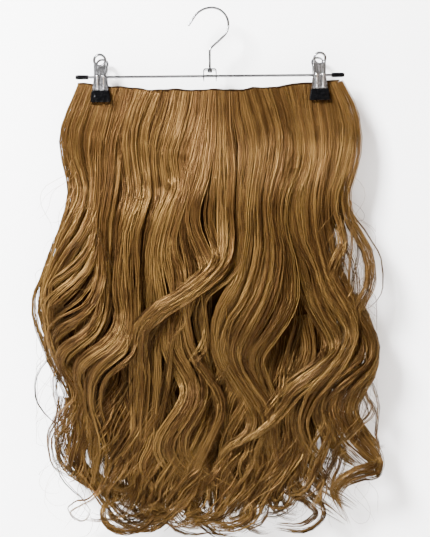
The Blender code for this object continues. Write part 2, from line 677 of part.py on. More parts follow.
def make_weft():
    """The sewn band, sagging between the clips, with a small turned-up knot at each end."""
    half = WEFT_HEIGHT / 2
    left = WEFT_WIDTH * WEFT_LEFT_END / 100
    right = WEFT_WIDTH * WEFT_RIGHT_END / 100
    xs = [left + (right - left) * i / WEFT_SEGMENTS for i in range(WEFT_SEGMENTS + 1)]
    below = [(x, weft_z(x) - half) for x in xs]
    above = [(x, weft_z(x) + half) for x in reversed(xs[1:-1])]
    end_top = WEFT_END_Z + half + WEFT_KNOB
    knot = [(0.0, 0.0), (WEFT_KNOB_TOP_WIDTH, 0.0), (WEFT_KNOB_FOOT_WIDTH, -WEFT_KNOB)]
    right_knot = [(right - inwards, end_top + up) for inwards, up in knot]
    left_knot = [(left + inwards, end_top + up) for inwards, up in reversed(knot)]
    weft = flat_plate("weft_band", [[*below, *right_knot, *above, *left_knot]], WEFT_THICKNESS)
    return finish(weft, WEFT_THREAD)


def make_snap_clip(number, x):
    """A plain snap clip behind the weft, flat at its back, with a raised leaf towards the hair."""
    half = SNAP_CLIP_LENGTH / 2
    top = min(weft_z(x - half), weft_z(x + half), weft_z(x)) + WEFT_HEIGHT / 2 - SNAP_CLIP_DROP
    bottom = top - SNAP_CLIP_HEIGHT
    middle = (top + bottom) / 2
    outline = rounded_box(x - half, x + half, bottom, top, SNAP_CLIP_CORNER)
    leaf_half = SNAP_LEAF_LENGTH / 2
    leaf_rise = SNAP_LEAF_HEIGHT / 2
    leaf = rounded_box(
        x - leaf_half, x + leaf_half, middle - leaf_rise, middle + leaf_rise, SNAP_LEAF_CORNER)
    clip = flat_plate(f"snap_clip_{number}", [outline], SNAP_CLIP_SHEET)
    raised = flat_plate("leaf", [leaf], SNAP_LEAF_RISE + SNAP_CLIP_SHEET / 2)
    raised = move(raised, (0, -(SNAP_LEAF_RISE + SNAP_CLIP_SHEET / 2) / 2, 0))
    combine(clip, [raised], "UNION")
    inner = ROOT_HALF_THICKNESS + GAP + SNAP_LEAF_RISE
    return finish(move(clip, (0, inner + SNAP_CLIP_SHEET / 2, 0)), SNAP_METAL)


def hair_point(drop, side):
    """The place of a drop and a side, both in per cent, in the weft's plane."""
    return Vector((WEFT_WIDTH * side / 100, 0.0, HAIR_TOP_Z - HAIR_LENGTH * drop / 100))


def curtain_ring(row):
    """The curtain's section at a row: along the front to the right and back along the rear."""
    ring = []
    for face in (-1, 1):
        reach = ROOT_HALF_THICKNESS + HAIR_DEPTH * (row.front if face < 0 else row.back) / 100
        shares = [2 * i / CURTAIN_COLUMNS - 1 for i in range(CURTAIN_COLUMNS)]
        for share in shares:
            across = share if face < 0 else -share
            centre = (row.left + row.right) / 2
            sway = PLEAT_SWAY * math.sin(2 * math.pi * row.drop / PLEAT_SWAY_LENGTH)
            side = centre + across * (row.right - row.left) / 2 + sway * (1 - across ** 4)
            point = hair_point(row.drop, side)
            pleat = 1 - (PLEAT_DEPTH if row.drop > PLEAT_START and len(ring) % 2 else 0.0)
            point.y = face * reach * pleat * math.sqrt(max(0.0, 1 - abs(across) ** 6))
            if row.drop == 0:
                point.z = weft_z(point.x) - WEFT_HEIGHT / 2 - ROOT_BELOW_WEFT
            ring.append(point)
    return ring


def close_end(bm, row):
    """Closes an end with strips from the row's front half to its back half, so it may be curved."""
    half = len(row) // 2
    for i in range(half):
        corners = [row[i], row[i + 1], row[-i - 1], row[-i]]
        bm.faces.new(dict.fromkeys(corners))


def loft(name, rings):
    """A closed body through rings of points, with strips across each end."""
    bm = bmesh.new()
    rows = [[bm.verts.new(point) for point in ring] for ring in rings]
    for row, below in zip(rows, rows[1:]):
        for i, vertex in enumerate(row):
            j = (i + 1) % len(row)
            bm.faces.new((vertex, row[j], below[j], below[i]))
    close_end(bm, rows[0])
    close_end(bm, rows[-1])
    return mesh_object(name, bm)


def lock_front(drop, front):
    """How far a lock's middle stands in front at a drop: nothing near the root, less at the tip."""
    rise = min(max((drop - LOCK_RISE_START) / LOCK_RISE_LENGTH, 0.0), 1.0)
    fall = min(max((drop - LOCK_FALL_START) / LOCK_FALL_LENGTH, 0.0), 1.0)
    reach = HAIR_DEPTH * front / 100
    return reach * rise * rise * (3 - 2 * rise) * (1 - LOCK_FALL * fall)


def make_lock(lock):
    """A lock swept along its bends, flat in section, thin at its root end and at its tip."""
    bends = []
    for drop, side in lock.bends:
        point = hair_point(drop, side)
        point.y = -lock_front(drop, lock.front)
        bends.append(point)
    path = evenly_spaced(smooth_path(bends, 8), LOCK_STEP + LOCK_STEP_PER_WIDTH * lock.width)
    rings = []
    for i, point in enumerate(path):
        before = path[max(i - 1, 0)]
        after = path[min(i + 1, len(path) - 1)]
        along = (after - before).normalized()
        across = along.cross(Vector((0, 1, 0))).normalized()
        share = i / (len(path) - 1)
        root = LOCK_ROOT + LOCK_ROOT_WIDENING * share
        tip = LOCK_TIP + LOCK_TIP_NARROWING * (1 - share)
        fullness = min(1.0, root, tip)
        half_width = fullness * WEFT_WIDTH * lock.width / 200
        half_thickness = fullness * HAIR_DEPTH * lock.thickness / 200
        ring = []
        for k in range(LOCK_SIDES):
            angle = 2 * math.pi * (k + 0.5) / LOCK_SIDES
            offset = across * (half_width * math.cos(angle))
            offset += Vector((0, half_thickness * math.sin(angle), 0))
            ring.append(point + offset)
        rings.append(ring)
    return loft(lock.name, rings)


def fill_pockets(obj):
    """Fills the closed pockets between locks, by keeping only the outer skin."""
    bm = bmesh.new()
    bm.from_mesh(obj.data)
    unseen = set(bm.faces)
    skins = []
    while unseen:
        skin = [unseen.pop()]
        for face in skin:
            near = {other for edge in face.edges for other in edge.link_faces} & unseen
            unseen -= near
            skin.extend(near)
        skins.append(skin)
    skins.sort(key=len)
    for skin in skins[:-1]:
        bmesh.ops.delete(bm, geom=skin, context="FACES")
    bm.to_mesh(obj.data)
    bm.free()


def make_hair():
    """All the hair in one body: the curtain with its locks."""
    hair = loft("hair", [curtain_ring(row) for row in CURTAIN])
    combine(hair, [make_lock(lock) for lock in LOCKS], "UNION")
    fill_pockets(hair)
    return finish(hair, HAIR, 60)


def build():
    make_hook()
    make_bracket()
    make_bar()
    for side, direction in (("left", -1), ("right", 1)):
        make_bar_cap(side, direction)
        make_clip(side, direction)
    make_weft()
    for number, x in enumerate(SNAP_CLIP_XS, 1):
        make_snap_clip(number, x)
    make_hair()


build()
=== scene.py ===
# %% [markdown]
# # Clip-in hair extension on a clip hanger
# A weft of long wavy hair hangs in the two clips of a small trouser hanger, against a white
# wall. Every piece below is made where its solid is, rides on the body "root", and replaces
# that solid, because it shows the same thing in more detail. Lengths are in metres unless a
# comment says otherwise.

# %% Load the frame and keep its size
import math

import bmesh
import bpy
import numpy as np
from mathutils import Matrix, Vector


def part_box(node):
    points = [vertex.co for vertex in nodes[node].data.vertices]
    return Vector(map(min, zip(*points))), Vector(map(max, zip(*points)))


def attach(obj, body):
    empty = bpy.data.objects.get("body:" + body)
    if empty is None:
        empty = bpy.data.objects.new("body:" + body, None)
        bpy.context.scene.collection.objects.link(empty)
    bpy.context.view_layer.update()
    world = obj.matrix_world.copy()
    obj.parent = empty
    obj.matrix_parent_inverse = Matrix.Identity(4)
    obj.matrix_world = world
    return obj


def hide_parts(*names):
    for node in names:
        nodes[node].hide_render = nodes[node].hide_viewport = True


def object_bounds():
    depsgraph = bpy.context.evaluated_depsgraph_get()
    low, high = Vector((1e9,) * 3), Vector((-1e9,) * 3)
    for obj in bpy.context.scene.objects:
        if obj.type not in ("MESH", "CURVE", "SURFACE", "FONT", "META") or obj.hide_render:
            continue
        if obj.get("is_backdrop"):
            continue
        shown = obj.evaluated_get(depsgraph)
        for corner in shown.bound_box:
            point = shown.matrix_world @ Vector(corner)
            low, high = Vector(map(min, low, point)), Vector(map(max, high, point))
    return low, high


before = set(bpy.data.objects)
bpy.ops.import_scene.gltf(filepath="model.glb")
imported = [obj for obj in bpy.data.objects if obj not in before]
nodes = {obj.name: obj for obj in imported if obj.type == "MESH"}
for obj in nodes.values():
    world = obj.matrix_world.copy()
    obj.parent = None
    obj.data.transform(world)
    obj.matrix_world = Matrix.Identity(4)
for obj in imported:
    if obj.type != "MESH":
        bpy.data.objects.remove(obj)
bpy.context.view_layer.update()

# %% [markdown]
# ## Camera
# The picture was taken straight from the front, a little over a metre away, with the camera
# turned by half a degree. A 70 mm lens at 1.2 m frames 0.62 m of height, which is the hanger
# and the hair with a small margin.

# %% Camera
CAMERA_PLACE = Vector((0.0037, -1.200, -0.2990))
CAMERA_ROLL = math.radians(0.55)
camera = bpy.data.cameras.new("camera")
camera.lens = 69.89
camera.sensor_width = 36.0
camera_object = bpy.data.objects.new("camera", camera)
camera_object.matrix_world = (
    Matrix.Translation(CAMERA_PLACE)
    @ Matrix.Rotation(math.radians(90), 4, "X")
    @ Matrix.Rotation(-CAMERA_ROLL, 4, "Z"))
bpy.context.scene.collection.objects.link(camera_object)
bpy.context.scene.camera = camera_object
print("camera at", CAMERA_PLACE[:])

# %% [markdown]
# ## Where the hair is
# Two numbers place any point of the hair: its drop, in per cent of the hair's length below
# the top line, and its side, in per cent of the weft's width to the right of the hook. The
# weft sags between the clips, so the hair's top follows the solid weft: for each x, the
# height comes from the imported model. Sewing pulls a band into small waves, and they are added.

# %% Drop and side to a place
WEFT_WIDTH = 0.306
HAIR_LENGTH = 0.510
HAIR_TOP = -0.088
ROOT_LINE = 4.0
ROOT_BELOW_WEFT = 0.0012

BETWEEN_THE_KNOTS = 0.148

weft_points = np.array([v.co for v in nodes["weft_band"].data.vertices])
weft_points = weft_points[np.abs(weft_points[:, 0]) < BETWEEN_THE_KNOTS]
WEFT_XS = np.unique(np.round(weft_points[:, 0], 5))
WEFT_ZS = np.array([
    weft_points[np.abs(weft_points[:, 0] - x) < 2e-5][:, 2].mean() for x in WEFT_XS])


def weft_height(x):
    """The height of the weft's middle line at x, with the small waves that the sewing leaves."""
    waves = 0.0005 * math.sin(130 * x + 1) + 0.0003 * math.sin(290 * x)
    return float(np.interp(x, WEFT_XS, WEFT_ZS)) + waves


def hair_point(drop, side, front=0.0):
    """A point of the hair; front is how far it stands out towards the camera, in metres."""
    x = WEFT_WIDTH * side / 100
    z = HAIR_TOP - HAIR_LENGTH * drop / 100
    if drop < ROOT_LINE:
        z += (weft_height(x) - ROOT_BELOW_WEFT - HAIR_TOP) * (1 - drop / ROOT_LINE)
    return Vector((x, -front, z))


print("weft sags to", round(min(WEFT_ZS), 4))

# %% [markdown]
# ## A path through a few points
# Each lock is laid out as a list of bends. A Catmull-Rom curve passes through all of
# them. The points on it are then spaced by how much it turns, so that a straight root has few
# and a curl has many: that is where the triangles are worth spending.

# %% Smooth path, spaced by turning
SPAN_OF_A_STRAIGHT = 0.038
TURN_OF_A_STEP = 0.42


def smooth_path(points, steps=6):
    """Points on a smooth curve that passes through all the given ones."""
    path = np.array(points, float)
    ends = np.vstack([2 * path[0] - path[1], path, 2 * path[-1] - path[-2]])
    before, start, end, after = (ends[i : len(ends) - 3 + i, None, :] for i in range(4))
    t = (np.arange(steps) / steps)[None, :, None]
    smooth = 0.5 * (
        2 * start
        + (end - before) * t
        + (2 * before - 5 * start + 4 * end - after) * t ** 2
        + (3 * start - before - 3 * end + after) * t ** 3)
    return np.vstack([smooth.reshape(-1, path.shape[1]), path[-1]])


def spaced_by_turning(path, coarseness=1.0):
    """Points along the first three columns of a path, closer where it turns."""
    steps = np.diff(path[:, :3], axis=0)
    lengths = np.linalg.norm(steps, axis=1) + 1e-9
    along = steps / lengths[:, None]
    cosines = np.clip((along[1:] * along[:-1]).sum(1), -1, 1)
    turns = np.concatenate([[0.0], np.arccos(cosines)])
    cost = lengths / SPAN_OF_A_STRAIGHT + turns / TURN_OF_A_STEP
    total = np.concatenate([[0.0], np.cumsum(cost)])
    count = max(4, round(total[-1] / coarseness))
    wanted = np.linspace(0, total[-1], count + 1)
    return np.column_stack([np.interp(wanted, total, column) for column in path.T])


# %% [markdown]
# ## The locks
# Hair that was curled together stays together, so it falls in locks. Each row below is one
# lock: its name, how wide it is, how far it stands to the front at a few drops, and its bends
# as drop and side. Neighbours start a thirtieth of the weft apart and then go their own way:
# some cross over others, some end in a ring or a flick.

# %% The front locks
LOCKS = [
    ("left_edge", 0.6, (0, 0, 40, 2, 80, 4), (
        0, -48.4, 4, -51.2, 8, -53.9, 12, -55, 16, -54.2, 20, -52.6, 24, -52.2, 28, -53.3, 32, -55.3,
        36, -58.3, 40, -60.5, 44, -63, 47, -65.3, 50, -65.8, 53, -65.2, 56, -63.7, 59, -61.5,
        62, -59.5, 65, -57, 68, -54.5, 71, -52.5, 74, -52, 78, -50)),
    ("left_rim", 1.15, (0, 0, 30, 3, 60, 5, 90, 5), (
        0, -47, 4, -50, 8, -52.8, 12, -54, 16, -53.2, 20, -51.5, 24, -50.5, 28, -51.5, 32, -54,
        36, -55.5, 40, -58, 44, -60.3, 46, -62, 48, -62.2, 51, -61.5, 54, -60.5, 57, -60,
        60, -59.7, 63, -57.5, 66, -54.5, 69, -52.5, 72, -52.5, 75, -55, 77, -58, 79, -59.8,
        82, -60, 85, -58.8, 87, -55, 88.5, -51, 90.5, -49, 92.5, -47, 94, -45.5)),
    ("left_second", 1.0, (0, 0, 30, 5, 60, 7, 90, 6), (
        0, -44.5, 4, -47, 8, -49.8, 12, -51.2, 16, -50.8, 20, -48.5, 23, -47.3, 26, -47.8,
        30, -51, 34, -54.5, 38, -57, 42, -59.5, 46, -61.5, 50, -61, 54, -59.8, 58, -58.8,
        62, -56.5, 66, -53, 70, -51, 74, -50.5, 78, -50, 82, -51.5, 86, -53, 88, -50, 90, -46,
        91.5, -41, 92, -36, 93, -31, 94.2, -27.5)),
    ("left_third", 1.0, (0, 0, 30, 7, 50, 9, 90, 7), (
        0, -41, 4, -43.5, 8, -46, 12, -47.5, 16, -47, 20, -45.5, 24, -44.8, 28, -46, 32, -49,
        36, -53, 40, -57, 43, -59, 46, -60.5, 49, -61, 53, -59.5, 57, -58.5, 61, -56, 65, -52,
        69, -49.5, 73, -48.5, 78, -47, 82, -46.5, 86, -46, 89, -44, 90.5, -39, 91.2, -34,
        92.5, -29.5, 94.5, -26.5)),
    ("fan_high", 0.8, (0, 0, 30, 7, 44, 11, 72, 7), (
        0, -38, 4, -39.8, 8, -42, 12, -43.6, 16, -44, 20, -43, 24, -43, 28, -43.8, 32, -46.5,
        35, -49.5, 38, -53, 41, -56, 44, -59, 47, -60.5, 54, -59.5, 60, -57, 66, -52.5,
        72, -49.5, 78, -48.5)),
    ("fan_second", 0.6, (0, 0, 30, 8, 44, 12, 66, 8), (
        0, -36.8, 6, -39.5, 12, -42, 18, -42, 24, -42.2, 30, -43, 35, -44.5, 38, -47, 40, -50,
        42, -54, 44, -59, 47, -60.3, 52, -60, 58, -58, 64, -54, 70, -50)),
    ("fan_middle", 0.8, (0, 0, 30, 8, 46, 12, 68, 8), (
        0, -35.5, 4, -37, 8, -39, 12, -40.5, 16, -41, 20, -41, 24, -41.5, 28, -42.3, 32, -42.8,
        36, -43.5, 39, -45, 42, -48, 45, -53, 47, -57, 49, -60, 52, -60.5, 56, -59.5, 60, -58.5,
        64, -54.5, 68, -51, 76, -48)),
    ("fan_fourth", 0.8, (0, 0, 30, 8, 50, 13, 75, 8), (
        0, -32.5, 4, -34.2, 8, -36, 12, -37.5, 16, -38.2, 20, -38.5, 24, -39.5, 28, -41,
        32, -41.5, 36, -41, 40, -41, 44, -42, 47, -43.5, 49.5, -46, 51.5, -50.5, 53, -55.5,
        55, -59, 58, -59.5, 62, -57, 66, -53, 70, -50.5, 75, -49, 82, -48)),
    ("fan_low", 0.75, (0, 0, 30, 8, 54, 13, 78, 8), (
        0, -31, 6, -33, 12, -36.5, 18, -37.3, 24, -38.5, 30, -40, 36, -40.5, 44, -41, 48, -41.5,
        51, -42.5, 54, -45, 56.5, -50, 58.5, -55, 61, -57, 64, -54.5, 68, -50, 72, -48,
        80, -46)),
    ("fan_last", 0.9, (0, 0, 30, 9, 58, 12, 85, 8), (
        0, -29.5, 4, -31.5, 8, -33.5, 12, -35, 16, -35.8, 20, -36, 24, -37, 28, -38, 32, -39,
        36, -39, 40, -40, 44, -40.3, 48, -40.5, 52, -41.5, 55, -44, 57.5, -49, 60, -54,
        63, -55.5, 66, -52, 70, -48, 74, -46.5, 78, -45.5, 84, -46, 89, -47.5)),
    ("left_wave_rim", 1.0, (0, 0, 26, 8, 40, 17, 60, 17, 75, 10), (
        0, -27, 4, -29, 8, -31, 12, -32.3, 16, -32, 20, -31, 24, -30.3, 28, -32, 31, -33,
        34, -33.8, 38, -33.5, 42, -34, 46, -34.2, 50, -33.3, 54, -34, 57, -37, 59, -41, 61, -46,
        63, -49, 66, -49.5, 70, -47.5, 74, -47, 80, -46.5)),
    ("left_wave", 1.0, (0, 0, 26, 9, 40, 19, 60, 18, 80, 10), (
        0, -24, 4, -26.2, 8, -28.2, 12, -29.3, 16, -29, 20, -27.8, 24, -27.2, 27, -28, 30, -30,
        34, -31.5, 38, -31.8, 42, -31.8, 46, -31.3, 50, -30.8, 54, -31, 57, -32.5, 59, -35,
        61, -39, 63, -42.5, 66, -45, 70, -46, 74, -45, 78, -43, 82, -42.5, 86, -43.5, 89, -45,
        92, -46)),
    ("left_wave_inner", 1.0, (0, 0, 26, 9, 40, 18, 60, 16, 80, 9), (
        0, -20.5, 4, -22.5, 8, -25, 12, -26.3, 16, -26, 20, -25.2, 24, -25, 28, -26.8,
        32, -28.8, 36, -29.8, 40, -29.6, 44, -29.5, 48, -29.3, 52, -29, 56, -29.5, 59, -31,
        61, -34, 63, -38.5, 65, -41.5, 68, -43.5, 72, -44, 76, -42, 80, -40, 84, -39, 88, -41,
        91, -43)),
    ("ring_curl", 0.9, (0, 0, 30, 7, 60, 8, 98, 6), (
        0, -17, 4, -18.2, 8, -20.5, 12, -22.5, 16, -23, 20, -22.5, 24, -22, 28, -22.5, 32, -24,
        36, -25, 40, -25.5, 44, -26.5, 48, -27, 52, -27.5, 56, -29, 60, -30, 64, -31, 68, -31,
        72, -29.5, 76, -28.5, 80, -32.5, 83, -36, 85.5, -38, 87.5, -36, 88.8, -31.5, 90.3, -27,
        92.7, -24, 95.3, -23.5, 97.5, -26, 98.8, -30.5, 98.6, -35, 97, -39, 95, -42)),
    ("middle_left", 1.0, (0, 0, 30, 8, 60, 10, 90, 7), (
        0, -13.5, 4, -14.3, 8, -16, 12, -18, 16, -19.3, 20, -18.7, 24, -18, 27, -19, 30, -21,
        34, -23, 38, -24, 42, -24.3, 46, -24.3, 50, -25, 54, -25, 58, -24.5, 62, -24.5, 66, -24,
        70, -24, 74, -24.5, 78, -24.8, 82, -24.2, 85, -22, 88, -18, 91, -13, 94, -8)),
    ("middle_left_inner", 1.0, (0, 0, 30, 9, 60, 11, 90, 8), (
        0, -10, 4, -10.8, 8, -12.3, 12, -14.5, 16, -16, 20, -15, 23, -14, 26, -15.8, 29, -18.3,
        32, -20, 36, -21.8, 40, -22.3, 44, -22, 48, -21, 52, -20.5, 56, -21, 60, -21.8, 64, -22,
        68, -22, 72, -22.5, 76, -22.8, 80, -22.5, 84, -20.5, 88, -15, 91, -10, 94, -5)),
    ("bow_rim", 1.0, (0, 0, 30, 10, 50, 11, 70, 15, 86, 14, 97, 6), (
        0, -6.5, 4, -7.2, 8, -8.6, 12, -10.8, 16, -12.6, 20, -12, 24, -12, 27, -14, 30, -15.5,
        34, -17.5, 38, -18.5, 42, -17.5, 46, -16, 50, -15.5, 54, -16.5, 58, -16.5, 61, -15,
        64, -12, 67, -9.5, 70, -9.5, 73, -12, 76, -16, 79, -19, 82, -19.5, 85, -17, 88, -11,
        91, -5.5, 94, 1, 97, 8)),
    ("bow_middle", 1.0, (0, 0, 30, 10, 50, 11, 70, 15, 86, 14, 96, 6), (
        0, -3.5, 4, -4, 8, -5.4, 12, -7.4, 16, -9.4, 20, -9, 24, -9.8, 27, -11.5, 30, -13,
        34, -14.8, 38, -14.8, 42, -12.5, 46, -12, 50, -13, 54, -14.5, 58, -14.5, 61, -12.5,
        64, -9.5, 67, -7, 70, -6.8, 73, -9, 76, -12.5, 79, -15.5, 82, -16, 85, -13.5, 88, -8,
        91, -2, 94, 4)),
    ("bow_inner", 1.0, (0, 0, 30, 10, 50, 10, 70, 14, 86, 13, 96, 6), (
        0, -1, 4, -1.3, 8, -2.5, 12, -4, 16, -5.6, 19, -7.5, 22, -8.6, 25, -9.8, 28, -10.8,
        31, -11.5, 34, -11.5, 37, -10.5, 40, -9, 44, -8.5, 48, -9.5, 52, -11, 56, -11.5,
        60, -10, 63, -7, 66, -5, 69, -4.5, 72, -6, 75, -9, 78, -11.5, 81, -12, 84, -10.5,
        87, -6, 90, -1, 93, 6)),
    ("crossing_rim", 0.9, (0, 0, 30, 14, 42, 21, 54, 20, 64, 13, 90, 9), (
        0, 1, 6, 0, 12, -0.5, 16, -1.5, 20, -2.5, 24, -4.5, 27, -6.2, 30, -6.8, 33, -6, 36, -4,
        39, -1.8, 41, -1, 43, -2.5, 45, -6.5, 47, -11, 49, -17, 51, -21.5, 53.5, -25, 57, -26.5,
        61, -26.5, 65, -26, 69, -26.5, 73, -27, 77, -27.5, 81, -27, 84, -24.5, 87, -19.5,
        90, -14)),
    ("crossing", 1.0, (0, 0, 30, 13, 42, 20, 54, 19, 64, 12, 88, 8), (
        0, 4, 4, 4.3, 8, 4.6, 12, 4.5, 16, 4.5, 20, 4.5, 24, 4.8, 28, 5, 32, 5.2, 36, 5.2,
        39, 4.5, 41, 2.8, 43, -0.5, 45, -4.5, 47, -9, 49, -14.5, 51, -19.5, 53, -24, 55, -26.8,
        58, -28, 62, -28.5, 66, -28.3, 70, -28.3, 74, -28.8, 78, -29.5, 82, -30, 85, -28,
        87.5, -24)),
    ("crossing_core", 0.6, (0, 0, 26, 10, 40, 20, 52, 20, 70, 12), (
        0, 2.5, 8, 2.5, 16, 1.6, 24, 0, 28, -1, 31, -1, 34, 0.5, 37, 2, 39, 2.5, 41, 1, 43, -2,
        45.5, -7, 48, -13.5, 51, -21, 54, -25.5, 58, -27.3, 64, -27.4, 70, -27.6)),
    ("turned_down", 1.0, (0, 0, 30, 13, 46, 17, 70, 15, 93, 6), (
        0, 7, 4, 7.3, 8, 7, 12, 8, 16, 8.6, 20, 8.8, 24, 8.2, 28, 7.8, 32, 8, 36, 8.2, 39, 7.2,
        41.5, 4.5, 43.5, 0.5, 45.5, -4, 47.5, -7.8, 50, -9, 53, -8.8, 56, -8, 59, -6.5, 62, -4,
        65, -0.5, 68, 2.5, 71, 4.3, 74, 4, 77, 2, 80, -0.5, 84, -4, 87, -5.5, 90, -3, 93, 2)),
    ("turned_down_inner", 0.9, (0, 0, 30, 12, 50, 10, 70, 8), (
        0, 10, 4, 10.3, 8, 11, 12, 12.6, 16, 13, 20, 12.5, 24, 11.8, 28, 11.3, 32, 11.2, 36, 11,
        40, 9.5, 43, 6, 45, 2, 47, -2, 50, -4.5, 53, -5, 56, -4.5, 60, -3, 64, -1, 70, 1)),
    ("middle_right", 1.0, (0, 0, 30, 12, 55, 13, 75, 12, 92, 7), (
        0, 13, 4, 14, 8, 15.5, 12, 17, 16, 17, 20, 15.8, 24, 14.8, 28, 14, 32, 13.8, 36, 13,
        40, 12, 44, 10.5, 47, 7.5, 50, 4.5, 53, 2.5, 56, 2, 59, 2.2, 62, 3.5, 65, 6, 68, 9,
        71, 12, 74, 14.5, 77, 14.5, 79.5, 11, 81, 6.5, 83, 3.5, 86, 3.8, 89, 7, 92, 11)),
    ("right_wave_start", 1.0, (0, 0, 30, 13, 55, 17, 75, 13, 92, 6), (
        0, 16, 4, 17.5, 8, 19.5, 12, 20.5, 16, 20, 20, 18.7, 24, 17.6, 28, 17.2, 32, 17.5,
        36, 17.6, 40, 16.5, 44, 14.8, 48, 12, 51, 9, 54, 6, 57, 4.5, 60, 4.8, 63, 7, 66, 10,
        69, 13, 72, 16, 75, 18.5, 78, 18, 81, 16, 84, 15, 88, 16.5, 92, 20)),
    ("right_wave", 1.0, (0, 0, 30, 14, 50, 18, 75, 13, 92, 6), (
        0, 19.5, 4, 21, 8, 23, 12, 24, 16, 23.5, 20, 22, 24, 20.5, 28, 19.8, 32, 20.3, 36, 21,
        40, 20.8, 44, 19.5, 48, 17, 52, 13.5, 55, 10.5, 58, 8, 61, 7.5, 64, 9, 67, 12, 70, 15.5,
        73, 18.5, 76, 20, 80, 20, 84, 21.5, 88, 25, 92, 28)),
    ("right_wave_inner", 1.0, (0, 0, 30, 14, 50, 17, 75, 12, 92, 6), (
        0, 23, 4, 24.3, 8, 26, 12, 27, 16, 26.5, 20, 25, 24, 22.8, 28, 21.8, 32, 22.5, 36, 23.8,
        40, 24, 44, 23, 48, 21, 52, 18, 55, 15, 58, 12, 61, 10.5, 64, 12, 68, 16, 71, 19,
        74, 21.2, 78, 21.5, 82, 22.5, 86, 25.5, 90, 30, 93, 32)),
    ("right_wave_rim", 1.0, (0, 0, 30, 13, 48, 15, 75, 10, 90, 6), (
        0, 26.5, 4, 28, 8, 29.7, 12, 30.8, 16, 31, 20, 29.7, 24, 26.8, 28, 25.5, 32, 25.5,
        36, 26.8, 40, 28.3, 44, 29, 48, 28.8, 51, 27, 54, 24.3, 57, 21, 60, 17.5, 63, 16.5,
        67, 18.5, 71, 21, 74, 22.5, 78, 22.5, 82, 23.5, 86, 26, 90, 30)),
    ("right_turn_inner", 0.9, (0, 0, 30, 9, 50, 10, 66, 15, 75, 12), (
        0, 30, 4, 31.3, 8, 32.7, 12, 33.8, 16, 33.8, 20, 32, 24, 29, 28, 28, 32, 28.3, 36, 30,
        40, 32, 44, 33.5, 48, 35.5, 52, 38.5, 55, 41.5, 58, 43.5, 60.5, 43, 63, 39, 65, 33.5,
        67, 28.5, 69, 26.5, 72, 25, 75, 22)),
    ("right_turn", 1.0, (0, 0, 30, 10, 50, 11, 66, 17, 80, 12), (
        0, 33.5, 4, 34.3, 8, 35.5, 12, 36.8, 16, 36.8, 20, 35, 24, 32.5, 28, 31.5, 32, 32,
        36, 33.7, 39, 36, 42, 38, 45, 39, 48, 40, 52, 43, 55, 46, 58, 47.5, 60.5, 46.5,
        63, 42.5, 65.5, 36.5, 68, 31, 71, 27, 74, 23.5, 76.5, 19, 78.5, 14, 80, 9, 80.8, 4)),
    ("curled_tip", 1.0, (0, 0, 30, 10, 50, 12, 66, 17, 84, 13), (
        0, 37, 4, 37.5, 8, 38.7, 12, 39.8, 16, 39.8, 20, 38.3, 24, 36.5, 28, 35.8, 32, 36,
        36, 37.3, 39, 39.3, 42, 41, 45, 42.5, 48, 45.5, 51, 48.8, 54, 50.8, 57, 50.8, 60, 48.5,
        63, 45.5, 66, 41.5, 69, 37, 72, 34.5, 75, 33, 78, 33.5, 81, 35.5, 83.5, 39, 85, 43.5,
        84.6, 48)),
    ("curled_tip_inner", 0.6, (0, 0, 30, 9, 60, 13, 86, 10), (
        0, 39, 8, 40.8, 16, 41.2, 24, 38, 32, 38, 38, 40.2, 44, 43, 50, 49, 56, 52.5, 62, 49.5,
        67, 43, 72, 40, 74, 40, 76, 41, 78, 43, 80, 45, 82, 47, 84, 49.5, 85.5, 53, 86, 56)),
    ("right_bulge", 1.0, (0, 0, 30, 9, 60, 13, 86, 8), (
        0, 40.5, 4, 41.3, 8, 42.4, 12, 43, 16, 42.8, 20, 41.2, 24, 39.8, 28, 39, 32, 39.5,
        36, 40.8, 39, 42, 42, 44, 45, 46, 48, 48.5, 51, 52, 54, 55.3, 57, 57.5, 60, 58,
        62.5, 56, 64.5, 52, 66.5, 47.5, 68.5, 43.5, 71, 40.5, 74, 39.5, 77, 41, 80, 44, 83, 48,
        85.5, 53, 86.8, 57)),
    ("flick", 0.9, (0, 0, 30, 7, 60, 11, 101, 5), (
        0, 43.5, 4, 45, 8, 46.5, 12, 46.8, 16, 46, 20, 44.5, 24, 42.8, 28, 42.2, 32, 42.8,
        36, 44, 40, 45.5, 44, 47.5, 48, 50.5, 51, 53.5, 54, 56.8, 57, 59, 60, 59.7, 63, 58.5,
        65.5, 55, 68, 51, 71, 48.3, 74, 48.8, 77, 51, 80, 54.3, 83, 58.5, 85, 61, 86.2, 59.5,
        86.5, 55, 87.8, 50, 90, 46, 92.5, 45, 95, 46.8, 98, 49.5, 101, 51)),
    ("right_inner_rim", 0.9, (0, 0, 30, 5, 60, 6), (
        0, 46, 4, 48.8, 8, 50.8, 12, 51.2, 16, 50.2, 20, 48.3, 24, 45.8, 28, 45.3, 32, 47.5,
        36, 48.5, 39, 46.5, 42, 44.5, 45, 44, 48, 46, 51, 49, 54, 51.5, 57, 52.5, 60, 52,
        66, 48, 72, 45)),
    ("right_rim", 0.8, (0, 0, 30, 3, 60, 6, 86, 6), (
        0, 48.5, 3, 51.5, 6, 53.6, 10, 54.6, 14, 54.8, 18, 53.5, 22, 51.3, 25, 50.3, 28, 50.6,
        31, 52, 34, 55, 37, 57.6, 40, 59, 43, 59.2, 46, 58.2, 49, 55.5, 52, 54, 55, 56,
        58, 58.5, 61, 60, 64, 58.5, 66.5, 55, 69, 52, 72, 51.5, 75, 53, 78, 55.5, 81, 58.5,
        84, 61, 85.6, 61, 86.6, 57)),
]
print("locks:", len(LOCKS))

# %% [markdown]
# ## Guides
# A guide is the middle line of a lock in space. Curled hair winds like a spring: where a
# lock runs to the left it comes to the front, and where it runs back to the right it goes
# behind. So a guide's depth is its lock's own reach plus a share of how much it leans. Both
# set in some way below the weft, where all locks lie flat. The two tables give a lock's half
# width and half depth in metres at some drops.

